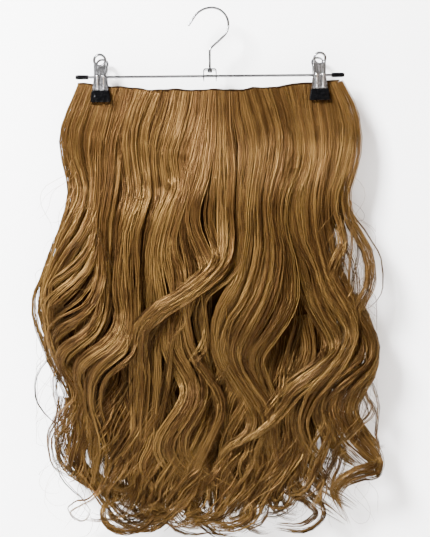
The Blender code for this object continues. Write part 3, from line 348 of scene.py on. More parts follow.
# %% Guides from the bends
WIND = 0.0075
FURTHEST_FRONT = 0.0265
TIP_WIDTH = 0.30
TIP_NARROWING = 3.2
WIND_FROM, WIND_OVER = 12, 16
OUT_FROM, OUT_OVER = 3.5, 18
HALF_WIDTH = (
    (0, 5, 12, 30, 45, 70, 88, 100),
    (0.0058, 0.0068, 0.0076, 0.0080, 0.0086, 0.0088, 0.0078, 0.0060))
HALF_DEPTH = (
    (0, 4, 9, 20, 40, 70, 90, 100),
    (0.0012, 0.0013, 0.0018, 0.0028, 0.0046, 0.0048, 0.0038, 0.0024))


def smooth_step(value, start, length):
    """0 before the start, 1 a length further on, and smooth between."""
    t = np.clip((np.asarray(value, float) - start) / length, 0, 1)
    return t * t * (3 - 2 * t)


def make_guide(width, reach, bends, coarseness=1.0, tip_width=TIP_WIDTH):
    """Columns x, y, z, half width, half depth and share, one row for each point of a guide."""
    pairs = smooth_path(np.reshape(bends, (-1, 2)))
    drops, sides = pairs.T
    flat = np.array([hair_point(drop, side) for drop, side in pairs])
    step = np.gradient(flat, axis=0)
    leaning = -step[:, 0] / (np.hypot(step[:, 0], step[:, 2]) + 1e-9)
    out = np.interp(drops, reach[0::2], reach[1::2]) / 1000
    out = out + WIND * leaning * smooth_step(drops, WIND_FROM, WIND_OVER)
    flat[:, 1] = -np.minimum(out, FURTHEST_FRONT) * smooth_step(drops, OUT_FROM, OUT_OVER)
    lengths = np.concatenate([[0.0], np.cumsum(np.linalg.norm(np.diff(flat, axis=0), axis=1))])
    share = lengths / lengths[-1]
    narrowing = np.minimum(1.0, tip_width + TIP_NARROWING * (1 - share))
    half_width = np.interp(drops, *HALF_WIDTH) * width * narrowing
    half_depth = np.interp(drops, *HALF_DEPTH) * narrowing
    return spaced_by_turning(np.column_stack([flat, half_width, half_depth, share]), coarseness)


guides = {name: make_guide(width, reach, bends) for name, width, reach, bends in LOCKS}
print("guides:", len(guides), "with", sum(len(g) for g in guides.values()), "points")

# %% [markdown]
# ## A small helper for node trees
# Trees read best when each node is one line. The helper makes a node, sets its properties and
# joins or fills its inputs by name or number.

# %% Node helpers
def add_node(tree, kind, inputs=None, **settings):
    """A new node with its settings, and its inputs linked to sockets or set to values."""
    made = tree.nodes.new(kind)
    for name, value in settings.items():
        setattr(made, name, value)
    for key, value in (inputs or {}).items():
        if isinstance(value, bpy.types.NodeSocket):
            tree.links.new(value, made.inputs[key])
        else:
            made.inputs[key].default_value = value
    return made


def add_math(tree, operation, *values):
    """The result of a Math node on the values."""
    return add_node(tree, "ShaderNodeMath", dict(enumerate(values)), operation=operation).outputs[0]


def add_vector_math(tree, operation, *values):
    """The result of a Vector Math node on the values."""
    inputs = dict(enumerate(values))
    if operation == "SCALE":
        inputs = {0: values[0], 3: values[1]}
    return add_node(tree, "ShaderNodeVectorMath", inputs, operation=operation).outputs[0]


def new_geometry_tree(name, inputs):
    """A Geometry Nodes tree with named inputs, and its first and last node."""
    tree = bpy.data.node_groups.new(name, "GeometryNodeTree")
    tree.interface.new_socket("Geometry", in_out="INPUT", socket_type="NodeSocketGeometry")
    for label, kind, value in inputs:
        socket = tree.interface.new_socket(label, in_out="INPUT", socket_type=kind)
        if value is not None:
            socket.default_value = value
    tree.interface.new_socket("Geometry", in_out="OUTPUT", socket_type="NodeSocketGeometry")
    return tree, tree.nodes.new("NodeGroupInput"), tree.nodes.new("NodeGroupOutput")


def grow(tree, source, name, values):
    """A plain mesh object from the tree's result on the source mesh, which is removed."""
    carrier = bpy.data.objects.new(name, source)
    bpy.context.scene.collection.objects.link(carrier)
    modifier = carrier.modifiers.new("grow", "NODES")
    modifier.node_group = tree
    for item in tree.interface.items_tree:
        if item.in_out == "INPUT" and item.name in values:
            modifier[item.identifier] = values[item.name]
    graph = bpy.context.evaluated_depsgraph_get()
    mesh = bpy.data.meshes.new_from_object(carrier.evaluated_get(graph))
    carrier.modifiers.clear()
    carrier.data = mesh
    mesh.name = name
    bpy.data.meshes.remove(source)
    return carrier


# %% [markdown]
# ## Colours that change over the hair
# One shader group gives the colour of every piece of hair. Hair is lighter at its tips, and no
# two strands are alike; inside a lock and in the lower half it is darkened with painted shade.
# So the group mixes a dark, a middle and a light tone by the strand's own shade, by how deep
# it lies (painted shade) and by how far along it is, and adds fine lines along it. Only colours
# and values leave it; the shader stays outside.

# %% Shader group for hair
def new_shader_group(name, inputs, outputs):
    """A shader node group with its sockets, and its first and last node."""
    group = bpy.data.node_groups.new(name, "ShaderNodeTree")
    for label, kind, value in inputs:
        group.interface.new_socket(label, in_out="INPUT", socket_type=kind).default_value = value
    for label, kind in outputs:
        group.interface.new_socket(label, in_out="OUTPUT", socket_type=kind)
    return group, group.nodes.new("NodeGroupInput"), group.nodes.new("NodeGroupOutput")


def mix_colours(tree, factor, first, second, blend="MIX"):
    """The result of a Mix Color node."""
    inputs = {0: factor, 6: first, 7: second}
    made = add_node(tree, "ShaderNodeMix", inputs, data_type="RGBA", blend_type=blend)
    return made.outputs[2]


def ramp(tree, value, low, high, to_low=0.0, to_high=1.0, way="SMOOTHSTEP"):
    """The value mapped from low..high to to_low..to_high, smoothly or in a straight line."""
    inputs = {0: value, 1: low, 2: high, 3: to_low, 4: to_high}
    return add_node(tree, "ShaderNodeMapRange", inputs, interpolation_type=way).outputs[0]


def add_noise(tree, place, scale, detail, distortion=0.0):
    """The value of a Noise Texture at the place."""
    inputs = {"Vector": place, "Scale": scale, "Detail": detail, "Distortion": distortion}
    return add_node(tree, "ShaderNodeTexNoise", inputs).outputs[0]


DARK_HAIR = (0.0045, 0.0019, 0.0006, 1)
MIDDLE_HAIR = (0.052, 0.0243, 0.0074, 1)
LIGHT_HAIR = (0.153, 0.0872, 0.0252, 1)

hair_group, start, end = new_shader_group(
    "hair_colour",
    [("Shade", "NodeSocketFloat", 0.5), ("Depth", "NodeSocketFloat", 1.0),
     ("Along", "NodeSocketFloat", 0.5), ("Lines", "NodeSocketFloat", 0.5),
     ("Dark", "NodeSocketColor", DARK_HAIR), ("Middle", "NodeSocketColor", MIDDLE_HAIR),
     ("Light", "NodeSocketColor", LIGHT_HAIR)],
    [("Color", "NodeSocketColor"), ("Roughness", "NodeSocketFloat")])
place = add_node(hair_group, "ShaderNodeTexCoord").outputs["Object"]
along = start.outputs["Along"]
patches = add_noise(hair_group, place, 22.0, 2.0)
lightness = add_math(hair_group, "MULTIPLY_ADD", patches, 0.55, -0.22)
lightness = add_math(hair_group, "ADD", lightness, start.outputs["Shade"])
lightness = add_math(hair_group, "SUBTRACT", lightness, 0.5)
contrast = ramp(hair_group, along, 0.05, 0.40, 0.6, 1.0)
lightness = add_math(hair_group, "MULTIPLY_ADD", lightness, contrast, 0.5)
highlight = ramp(hair_group, lightness, 0.40, 0.95)
tone = mix_colours(hair_group, highlight, start.outputs["Middle"], start.outputs["Light"])

shadow = ramp(hair_group, lightness, 0.05, 0.48, 0.78, 0.0)
# Painted shade: strands deep in a lock are darkened, more so lower down.
painted_shade_inside = ramp(hair_group, start.outputs["Depth"], 0.0, 0.8, 1.0, 0.0)
painted_shade_inside = add_math(hair_group, "MULTIPLY", painted_shade_inside, ramp(hair_group, along, 0.15, 0.6, 0.55, 0.9))
root = ramp(hair_group, along, 0.0, 0.16, 0.08, 0.0)
# Painted shade: the lower half of the hair is darkened.
painted_shade_lower_half = ramp(hair_group, along, 0.42, 0.66, 0.0, 0.30)
for darkening in (shadow, painted_shade_inside, root, painted_shade_lower_half):
    tone = mix_colours(hair_group, darkening, tone, start.outputs["Dark"])
tip = ramp(hair_group, along, 0.80, 1.0, 0.0, 0.48)
tone = mix_colours(hair_group, tip, tone, start.outputs["Light"])
lines = ramp(hair_group, start.outputs["Lines"], 0.35, 0.65, 0.74, 1.16)
tone = mix_colours(hair_group, 1.0, tone, lines, "MULTIPLY")
roughness = ramp(hair_group, start.outputs["Lines"], 0.3, 0.7, 0.25, 0.36)
hair_group.links.new(tone, end.inputs["Color"])
hair_group.links.new(roughness, end.inputs["Roughness"])
print("shader group:", hair_group.name)

# %% [markdown]
# The strands' material reads three attributes that the strands carry: shade, depth, which only
# sets their painted shade, and along. Single hairs stand against the light, so theirs is a paler
# one. The layer under the strands has only its own map, so the same group gets its lines from
# there, with the darker tones of painted shade.

# %% Hair materials
def new_material(name):
    """A node material and its tree and shader."""
    material = bpy.data.materials.new(name)
    material.use_nodes = True
    return material, material.node_tree, material.node_tree.nodes["Principled BSDF"]


def attribute(tree, name):
    """The value of a named attribute."""
    return add_node(tree, "ShaderNodeAttribute", attribute_name=name).outputs["Fac"]


def lines_along(tree, uv_map, across, along):
    """Fine lines that run along a map's second direction."""
    uv = add_node(tree, "ShaderNodeUVMap", uv_map=uv_map).outputs[0]
    stretched = add_node(tree, "ShaderNodeMapping", {0: uv, 3: (across, along, 1.0)}).outputs[0]
    return add_noise(tree, stretched, 1.0, 3.0)


def hair_material(name, across, along, gloss, middle=MIDDLE_HAIR, light=LIGHT_HAIR, strands=True):
    """Hair with the shared colour group, for strands with attributes or for a plain layer."""
    material, tree, shader = new_material(name)
    lines = lines_along(tree, "OFBake", across, along)
    colour = add_node(tree, "ShaderNodeGroup", node_tree=hair_group)
    colour.inputs["Middle"].default_value = middle
    colour.inputs["Light"].default_value = light
    tree.links.new(lines, colour.inputs["Lines"])
    if strands:
        for label in ("Shade", "Depth", "Along"):
            tree.links.new(attribute(tree, label.lower()), colour.inputs[label])
    tree.links.new(colour.outputs["Color"], shader.inputs["Base Color"])
    tree.links.new(colour.outputs["Roughness"], shader.inputs["Roughness"])
    bump = add_node(tree, "ShaderNodeBump", {"Height": lines, "Strength": 0.35, "Distance": 0.0003})
    tree.links.new(bump.outputs[0], shader.inputs["Normal"])
    shader.inputs["Metallic"].default_value = gloss
    shader.inputs["Specular IOR Level"].default_value = gloss / 4
    shader.inputs["Specular Tint"].default_value = (1.0, 0.75, 0.45, 1)
    return material


STRAND_MATERIAL = hair_material("hair_strands", 2600.0, 9.0, 0.5)
FINE_MATERIAL = hair_material(
    "hair_single_hairs", 900.0, 5.0, 0.3,
    middle=(0.12, 0.062, 0.020, 1), light=(0.24, 0.14, 0.050, 1))
# The under layer's darker tones are painted shade.
UNDER_PAINTED_SHADE_MATERIAL = hair_material(
    "hair_under_layer_painted_shade", 420.0, 5.0, 0.0,
    middle=(0.010, 0.0042, 0.0010, 1), light=(0.022, 0.0095, 0.0022, 1), strands=False)
print("materials:", STRAND_MATERIAL.name, FINE_MATERIAL.name, UNDER_PAINTED_SHADE_MATERIAL.name)

# %% [markdown]
# ## Growing the strands
# Thousands of strands can't be drawn one by one, so a Geometry Nodes tree grows them along
# the guides. Each guide is copied once per strand, and a few copies at a time are a wisp.
# A wisp moves sideways and forwards inside its lock, so that together the wisps fill the
# front of an oval. Its strands lie wide apart at the root, close up towards the tip, wander
# with it by one noise and a little by a noise of their own, and end a little early. Each
# becomes a three-sided tube, which is enough for something half a millimetre thick.

# %% Strand tree
strand_tree, start, end = new_geometry_tree("strands_along_locks", [
    ("Strands per Lock", "NodeSocketInt", 70),
    ("Strands per Wisp", "NodeSocketInt", 7),
    ("Radius", "NodeSocketFloat", 0.00030),
    ("Wisp Width", "NodeSocketFloat", 0.27),
    ("Wander", "NodeSocketFloat", 0.008),
    ("Frizz", "NodeSocketFloat", 0.0025),
    ("Shortest", "NodeSocketFloat", 0.93),
    # Only scales the painted shade of strands deep in a lock: lower is darker.
    ("Painted Shade Nearness", "NodeSocketFloat", 1.0),
    ("Facing", "NodeSocketFloat", -1.0),
    ("Seed", "NodeSocketInt", 1),
    ("Material", "NodeSocketMaterial", None)])


def named(tree, name, data_type="FLOAT"):
    """A named attribute in a geometry tree."""
    made = add_node(
        tree, "GeometryNodeInputNamedAttribute", {"Name": name}, data_type=data_type)
    return made.outputs[0]


def on_spline(tree, value):
    """A whole number evaluated once for each spline."""
    made = add_node(tree, "GeometryNodeFieldOnDomain", data_type="INT", domain="CURVE")
    tree.links.new(value, made.inputs[0])
    return made.outputs[0]


def random_per_spline(tree, low, high, index, seed, offset):
    """A random number for each index."""
    own_seed = add_math(tree, "ADD", seed, float(offset))
    inputs = {2: low, 3: high, 7: index, 8: own_seed}
    return add_node(tree, "FunctionNodeRandomValue", inputs, data_type="FLOAT").outputs[1]


def store(tree, geometry, name, value, data_type="FLOAT"):
    """The geometry with a named attribute stored on its points."""
    made = add_node(
        tree, "GeometryNodeStoreNamedAttribute", {"Geometry": geometry, "Name": name},
        data_type=data_type, domain="POINT")
    tree.links.new(value, made.inputs["Value"])
    return made.outputs[0]


MOST_WISPS_IN_A_LOCK = 1000.0
WIDEST = 1.05
WISP_NOISE = 15.0
STRAND_NOISE = 26.0

curves = add_node(
    strand_tree, "GeometryNodeMeshToCurve", {"Mesh": start.outputs["Geometry"]}).outputs[0]
duplicates = add_node(
    strand_tree, "GeometryNodeDuplicateElements",
    {"Geometry": curves, "Amount": start.outputs["Strands per Lock"]}, domain="SPLINE")
seed = start.outputs["Seed"]
strand = on_spline(strand_tree, add_node(strand_tree, "GeometryNodeInputIndex").outputs[0])
wisp = add_math(
    strand_tree, "DIVIDE", duplicates.outputs["Duplicate Index"], start.outputs["Strands per Wisp"])
wisp = add_math(strand_tree, "FLOOR", wisp)
wisp = add_math(
    strand_tree, "MULTIPLY_ADD", named(strand_tree, "lock"), MOST_WISPS_IN_A_LOCK, wisp)
wisp = on_spline(strand_tree, wisp)
own_shade = random_per_spline(strand_tree, 0.0, 0.55, strand, seed, 23)
wisp_shade = random_per_spline(strand_tree, 0.0, 1.0, wisp, seed, 29)
shade = add_math(strand_tree, "MULTIPLY_ADD", wisp_shade, 0.45, own_shade)
level = add_math(strand_tree, "SQRT", random_per_spline(strand_tree, 0.0, 1.0, wisp, seed, 11))
# This depth only sets the colour: painted shade for strands deep in a lock.
depth = add_math(strand_tree, "MULTIPLY", level, start.outputs["Painted Shade Nearness"])
geometry = store(strand_tree, duplicates.outputs["Geometry"], "strand", strand, "INT")
geometry = store(strand_tree, geometry, "wisp", wisp, "INT")
geometry = store(strand_tree, geometry, "shade", shade)
geometry = store(strand_tree, geometry, "depth", depth)
wisp_end = random_per_spline(strand_tree, start.outputs["Shortest"], 1.0, wisp, seed, 37)
own_end = random_per_spline(strand_tree, 0.96, 1.0, strand, seed, 38)
geometry = add_node(
    strand_tree, "GeometryNodeTrimCurve",
    {"Curve": geometry, 3: add_math(strand_tree, "MULTIPLY", wisp_end, own_end)}, mode="FACTOR").outputs[0]

strand = named(strand_tree, "strand", "INT")
wisp = named(strand_tree, "wisp", "INT")
share = named(strand_tree, "share")
level = add_math(strand_tree, "SQRT", random_per_spline(strand_tree, 0.0, 1.0, wisp, seed, 11))
aside = random_per_spline(strand_tree, -1.0, 1.0, wisp, seed, 1)
within = random_per_spline(strand_tree, -1.0, 1.0, strand, seed, 2)
behind = random_per_spline(strand_tree, -1.0, 1.0, strand, seed, 3)
tip_closing = ramp(strand_tree, share, 0.45, 1.0, 1.0, 0.35, "LINEAR")
root_opening = ramp(strand_tree, share, 0.0, 0.42, 1.9, 1.0, "LINEAR")
wisp_width = add_math(strand_tree, "MULTIPLY", tip_closing, root_opening)
wisp_width = add_math(strand_tree, "MULTIPLY", start.outputs["Wisp Width"], wisp_width)
sideways = add_math(strand_tree, "MULTIPLY_ADD", within, wisp_width, aside)
sideways = add_math(strand_tree, "MINIMUM", sideways, WIDEST)
sideways = add_math(strand_tree, "MAXIMUM", sideways, -WIDEST)
sideways = add_math(strand_tree, "MULTIPLY", sideways, named(strand_tree, "half_width"))
across = named(strand_tree, "across", "FLOAT_VECTOR")
offset = add_vector_math(strand_tree, "SCALE", across, sideways)
oval = add_math(strand_tree, "MULTIPLY", aside, aside)
oval = add_math(strand_tree, "SQRT", add_math(strand_tree, "SUBTRACT", 1.02, oval))
forward = add_math(strand_tree, "MULTIPLY_ADD", level, 1.3, -0.3)
forward = add_math(strand_tree, "MULTIPLY", forward, oval)
forward = add_math(strand_tree, "MULTIPLY_ADD", behind, wisp_width, forward)
forward = add_math(strand_tree, "MULTIPLY", forward, named(strand_tree, "half_depth"))
forward = add_math(strand_tree, "MULTIPLY", forward, start.outputs["Facing"])
towards = add_node(strand_tree, "ShaderNodeCombineXYZ", {"Y": forward}).outputs[0]
offset = add_vector_math(strand_tree, "ADD", offset, towards)


def own_noise(tree, identity, scale, amount, seed_offset):
    """A noise vector that differs for each identity, times an amount."""
    own_seed = add_math(tree, "ADD", seed, seed_offset)
    inputs = {0: (-50.0, -50.0, -50.0), 1: (50.0, 50.0, 50.0), 7: identity, 8: own_seed}
    own_place = add_node(
        tree, "FunctionNodeRandomValue", inputs, data_type="FLOAT_VECTOR").outputs[0]
    position = add_node(tree, "GeometryNodeInputPosition").outputs[0]
    position = add_vector_math(tree, "SCALE", position, scale)
    inputs = {
        "Vector": add_vector_math(tree, "ADD", position, own_place), "Scale": 1.0, "Detail": 1.0}
    noise = add_node(tree, "ShaderNodeTexNoise", inputs).outputs["Color"]
    noise = add_vector_math(tree, "SUBTRACT", noise, (0.5, 0.5, 0.5))
    return add_vector_math(tree, "SCALE", noise, amount)


free = ramp(strand_tree, share, 0.02, 0.45, 0.0, 1.0, "LINEAR")
wander = add_math(strand_tree, "MULTIPLY", free, start.outputs["Wander"])
wander = own_noise(strand_tree, wisp, WISP_NOISE, wander, 61.0)
stray = random_per_spline(strand_tree, 0.0, 1.0, strand, seed, 53)
stray = add_math(strand_tree, "POWER", stray, 8.0)
stray = add_math(strand_tree, "MULTIPLY_ADD", stray, 5.0, 0.7)
frizz = add_math(strand_tree, "MULTIPLY", start.outputs["Frizz"], stray)
frizz = add_math(strand_tree, "MULTIPLY", free, frizz)
frizz = own_noise(strand_tree, strand, STRAND_NOISE, frizz, 67.0)
offset = add_vector_math(strand_tree, "ADD", offset, add_vector_math(strand_tree, "ADD", wander, frizz))
geometry = add_node(
    strand_tree, "GeometryNodeSetPosition", {"Geometry": geometry, "Offset": offset}).outputs[0]

thickness = random_per_spline(strand_tree, 0.6, 1.35, strand, seed, 41)
factor = add_node(strand_tree, "GeometryNodeSplineParameter").outputs["Factor"]
geometry = store(strand_tree, geometry, "along", share)
geometry = store(strand_tree, geometry, "run", factor)
taper = ramp(strand_tree, factor, 1.0, 0.88, 0.25, 1.0, "LINEAR")
radius = add_math(strand_tree, "MULTIPLY", taper, thickness)
radius = add_math(strand_tree, "MULTIPLY", radius, start.outputs["Radius"])
profile = add_node(
    strand_tree, "GeometryNodeCurvePrimitiveCircle", {"Resolution": 3, "Radius": 1.0},
    mode="RADIUS").outputs[0]
facet = add_node(strand_tree, "GeometryNodeInputIndex").outputs[0]
profile = store(strand_tree, profile, "facet", facet, "INT")
tubes = add_node(
    strand_tree, "GeometryNodeCurveToMesh",
    {"Curve": geometry, "Profile Curve": profile, "Scale": radius, "Fill Caps": True}).outputs[0]


def finish_tree(tree, geometry, first, last):
    """Smooth shading, real geometry and a material at the end of a tree."""
    geometry = add_node(tree, "GeometryNodeSetShadeSmooth", {"Geometry": geometry}).outputs[0]
    geometry = add_node(tree, "GeometryNodeRealizeInstances", {"Geometry": geometry}).outputs[0]
    geometry = add_node(
        tree, "GeometryNodeSetMaterial",
        {"Geometry": geometry, "Material": first.outputs["Material"]}).outputs[0]
    tree.links.new(geometry, last.inputs["Geometry"])


finish_tree(strand_tree, tubes, start, end)
print("strand tree:", len(strand_tree.nodes), "nodes")

# %% [markdown]
# A guide goes into the tree as a chain of edges that carries its numbers. What comes out gets
# a map of its own: one upright strip for each strand, so that lines can run along it.

# %% Grow one piece of hair
def chain_mesh(name, some_guides):
    """Guides as chains of edges, with their numbers as attributes."""
    points, edges = [], []
    for guide in some_guides:
        edges += [(len(points) + i, len(points) + i + 1) for i in range(len(guide) - 1)]
        points += list(guide)
    points = np.array(points)
    mesh = bpy.data.meshes.new(name)
    mesh.from_pydata(points[:, :3].tolist(), edges, [])
    lock = np.repeat(np.arange(len(some_guides)), [len(guide) for guide in some_guides]).astype(float)
    points = np.column_stack([points, lock])
    for column, label in ((3, "half_width"), (4, "half_depth"), (5, "share"), (6, "lock")):
        values = mesh.attributes.new(label, "FLOAT", "POINT")
        values.data.foreach_set("value", points[:, column].copy())
    across = []
    for guide in some_guides:
        along = np.gradient(guide[:, :3], axis=0)
        side = np.column_stack([-along[:, 2], np.zeros(len(guide)), along[:, 0]])
        across.append(side / (np.linalg.norm(side, axis=1)[:, None] + 1e-9))
    across = np.vstack(across)
    mesh.attributes.new("across", "FLOAT_VECTOR", "POINT").data.foreach_set("vector", across.ravel())
    return mesh


def read_attribute(mesh, name, kind=float):
    """A named point attribute as an array."""
    values = np.zeros(len(mesh.vertices), kind)
    mesh.attributes[name].data.foreach_get("value", values)
    return values


def map_strands(mesh):
    """Gives each strand an upright strip of the map."""
    strand = read_attribute(mesh, "strand", np.int32)
    run = read_attribute(mesh, "run")
    facet = read_attribute(mesh, "facet", np.int32)
    corners = np.zeros(len(mesh.loops), np.int32)
    mesh.loops.foreach_get("vertex_index", corners)
    starts = np.zeros(len(mesh.polygons), np.int32)
    totals = np.zeros(len(mesh.polygons), np.int32)
    mesh.polygons.foreach_get("loop_start", starts)
    mesh.polygons.foreach_get("loop_total", totals)
    face_of = np.repeat(np.arange(len(starts)), totals)
    side = facet[corners].astype(float)
    last = np.maximum.reduceat(side, starts)[face_of]
    first = np.minimum.reduceat(side, starts)[face_of]
    side[(last == 2) & (first == 0) & (side == 0) & (totals[face_of] == 4)] = 3
    count = strand.max() + 1
    across = (strand[corners] + 0.05 + 0.9 * side / 3) / count
    uv = mesh.uv_layers.new(name="OFBake")
    uv.data.foreach_set("uv", np.column_stack([across, run[corners]]).astype(np.float32).ravel())


def finish_piece(piece, slot, *replaced):
    """Puts a finished piece on its body and hides the solids that it stands for. The slot is not used."""
    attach(piece, "root")
    if replaced:
        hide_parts(*replaced)
    piece.data.calc_loop_triangles()
    print(piece.name + ":", len(piece.data.loop_triangles), "triangles")
    return piece


def grow_strands(name, some_guides, values):
    """One piece of hair: strands along some guides."""
    source = chain_mesh(name + "_guides", some_guides)
    piece = grow(strand_tree, source, name, {"Material": STRAND_MATERIAL, **values})
    map_strands(piece.data)
    return finish_piece(piece, "hair_fibre", "hair")


names = [row[0] for row in LOCKS]
FRONT_PIECES = [
    ("hair_front_left", names[0:9], 70),
    ("hair_front_middle_left", names[9:17], 77),
    ("hair_front_middle", names[17:25], 77),
    ("hair_front_middle_right", names[25:32], 77),
    ("hair_front_right", names[32:], 77),
]
for number, (name, members, count) in enumerate(FRONT_PIECES):
    grow_strands(name, [guides[member] for member in members], {
        "Strands per Lock": count, "Seed": 100 + 10 * number})

# %% [markdown]
# Between two neighbouring locks lies a thinner one that belongs to neither. Its guide is the
# mean of theirs, set a little further back, so it shows where they part; its strands are
# darker with painted shade.

# %% Locks between the locks
FILL_BACK = 0.0035


def between(first, second):
    """A guide between two others, a little behind them."""
    count = max(len(first), len(second))
    at = np.linspace(0, 1, count)
    rows = [
        np.column_stack([np.interp(at, np.linspace(0, 1, len(g)), column) for column in g.T])
        for g in (first, second)]
    mean = (rows[0] + rows[1]) / 2
    mean[:, 1] += FILL_BACK * smooth_step(mean[:, 5], 0.03, 0.25)
    return mean


fills = [between(guides[a], guides[b]) for a, b in zip(names, names[1:])]
half = len(fills) // 2
for name, some, own_seed in (
        ("hair_fill_left", fills[:half], 300), ("hair_fill_right", fills[half:], 310)):
    grow_strands(name, some, {
        "Strands per Lock": 21, "Wander": 0.014, "Frizz": 0.004, "Painted Shade Nearness": 0.6,
        "Shortest": 0.75, "Seed": own_seed})

# %% [markdown]
# ## Curls under the tips, the back and the loose strands
# Where nothing in particular has to be matched, a lock is walked rather than laid out: it
# starts at a side and a drop, heads down, swings to and fro, and hooks over its last five
# centimetres. The same walk gives the curls that thicken the lower half, the shorter ones
# at the tips, the back of the weft, which hangs against the wall, and the single hairs that
# stand off the outline.

# %% A walked lock
HOOKED_LENGTH = 0.055
SHARE_THAT_GOES_DOWN = 0.87


def walked_lock(side, drop, end, swing, waves, phase, hook, calm=0.0, lean=0.0, steps=18):
    """Bends of a lock that heads down in waves and hooks at its tip."""
    at = np.linspace(0, 1, steps)
    heading = swing * np.sin(2 * np.pi * waves * at + phase) * smooth_step(at, calm - 0.01, 0.3)
    length = (end - drop) * HAIR_LENGTH / 100 / SHARE_THAT_GOES_DOWN
    hooked = min(HOOKED_LENGTH / length, 0.4)
    heading = heading + lean + hook * smooth_step(at, 1 - hooked, 1.15 * hooked)
    stride = length / (steps - 1)
    x = np.concatenate([[0.0], np.cumsum(np.sin(heading[1:]) * stride)]) / WEFT_WIDTH * 100
    z = np.concatenate([[0.0], np.cumsum(np.cos(heading[1:]) * stride)]) / HAIR_LENGTH * 100
    size = min((end - drop) / z.max(), 1.2)
    return np.column_stack([drop + z * size, side + x * size])


chance = np.random.default_rng(41)
low_guides = []
for number, side in enumerate(np.linspace(-48, 42, 46)):
    lowest = np.interp(side, (-48, -35, -20, 10, 20, 42), (93, 99, 101.8, 102.2, 100, 94.5))
    bends = walked_lock(
        side, chance.uniform(52, 62), lowest - chance.uniform(0, 6), chance.uniform(0.45, 0.8),
        chance.uniform(1.1, 1.7), chance.uniform(0, 6.28),
        chance.choice([-1, 1]) * chance.uniform(0.6, 2.2))
    reach = (55, -3, 66, 0, 74, 3 + 2 * (number % 3), 100, 3 + 2 * (number % 2))
    low_guides.append(make_guide(1.15, reach, bends, 1.25, 0.55))
grow_strands("hair_low_curls", low_guides, {
    "Strands per Lock": 28, "Strands per Wisp": 6, "Wisp Width": 0.3, "Radius": 0.00035,
    "Wander": 0.010, "Frizz": 0.0035, "Painted Shade Nearness": 0.85, "Shortest": 0.9, "Seed": 400})

# %% Curls at the tips
tip_guides = []
for number, side in enumerate(np.linspace(-37, 34, 38)):
    lowest = np.interp(side, (-40, -30, -15, 8, 22, 36), (94, 99.5, 102.5, 102.5, 100, 95))
    bends = walked_lock(
        side, chance.uniform(75, 84), lowest - chance.uniform(0, 7), chance.uniform(0.6, 1.0),
        chance.uniform(0.6, 1.0), chance.uniform(0, 6.28),
        chance.choice([-1, 1]) * chance.uniform(0.8, 2.4), steps=12)
    reach = (75, -1, 84, 1 + 2 * (number % 3), 100, 2 + 2 * (number % 2))
    tip_guides.append(make_guide(1.1, reach, bends, 1.25, 0.6))
grow_strands("hair_tip_curls", tip_guides, {
    "Strands per Lock": 16, "Strands per Wisp": 5, "Wisp Width": 0.35, "Radius": 0.00038,
    "Wander": 0.010, "Frizz": 0.0035, "Painted Shade Nearness": 0.9, "Shortest": 0.88, "Seed": 420})

# %% Back of the weft
BACK_REACH = (0, 0, 8, -2.5, 20, -5.5, 40, -8, 60, -9, 80, -6, 100, -1)
back_guides = []
for number, side in enumerate(np.linspace(-46, 45, 15)):
    bends = walked_lock(
        side, 0, chance.uniform(86, 96) - 0.12 * abs(side), chance.uniform(0.4, 0.6),
        chance.uniform(2.4, 3.0), 0.3 * number + chance.uniform(0, 1.5),
        chance.choice([-1, 1]) * chance.uniform(0.6, 2.0), calm=0.12, lean=0.0012 * side)
    back_guides.append(make_guide(1.25, BACK_REACH, bends, 1.3))
grow_strands("hair_back", back_guides, {
    "Strands per Lock": 28, "Radius": 0.00038, "Facing": 1.0, "Wander": 0.011,
    "Wisp Width": 0.3, "Seed": 500})
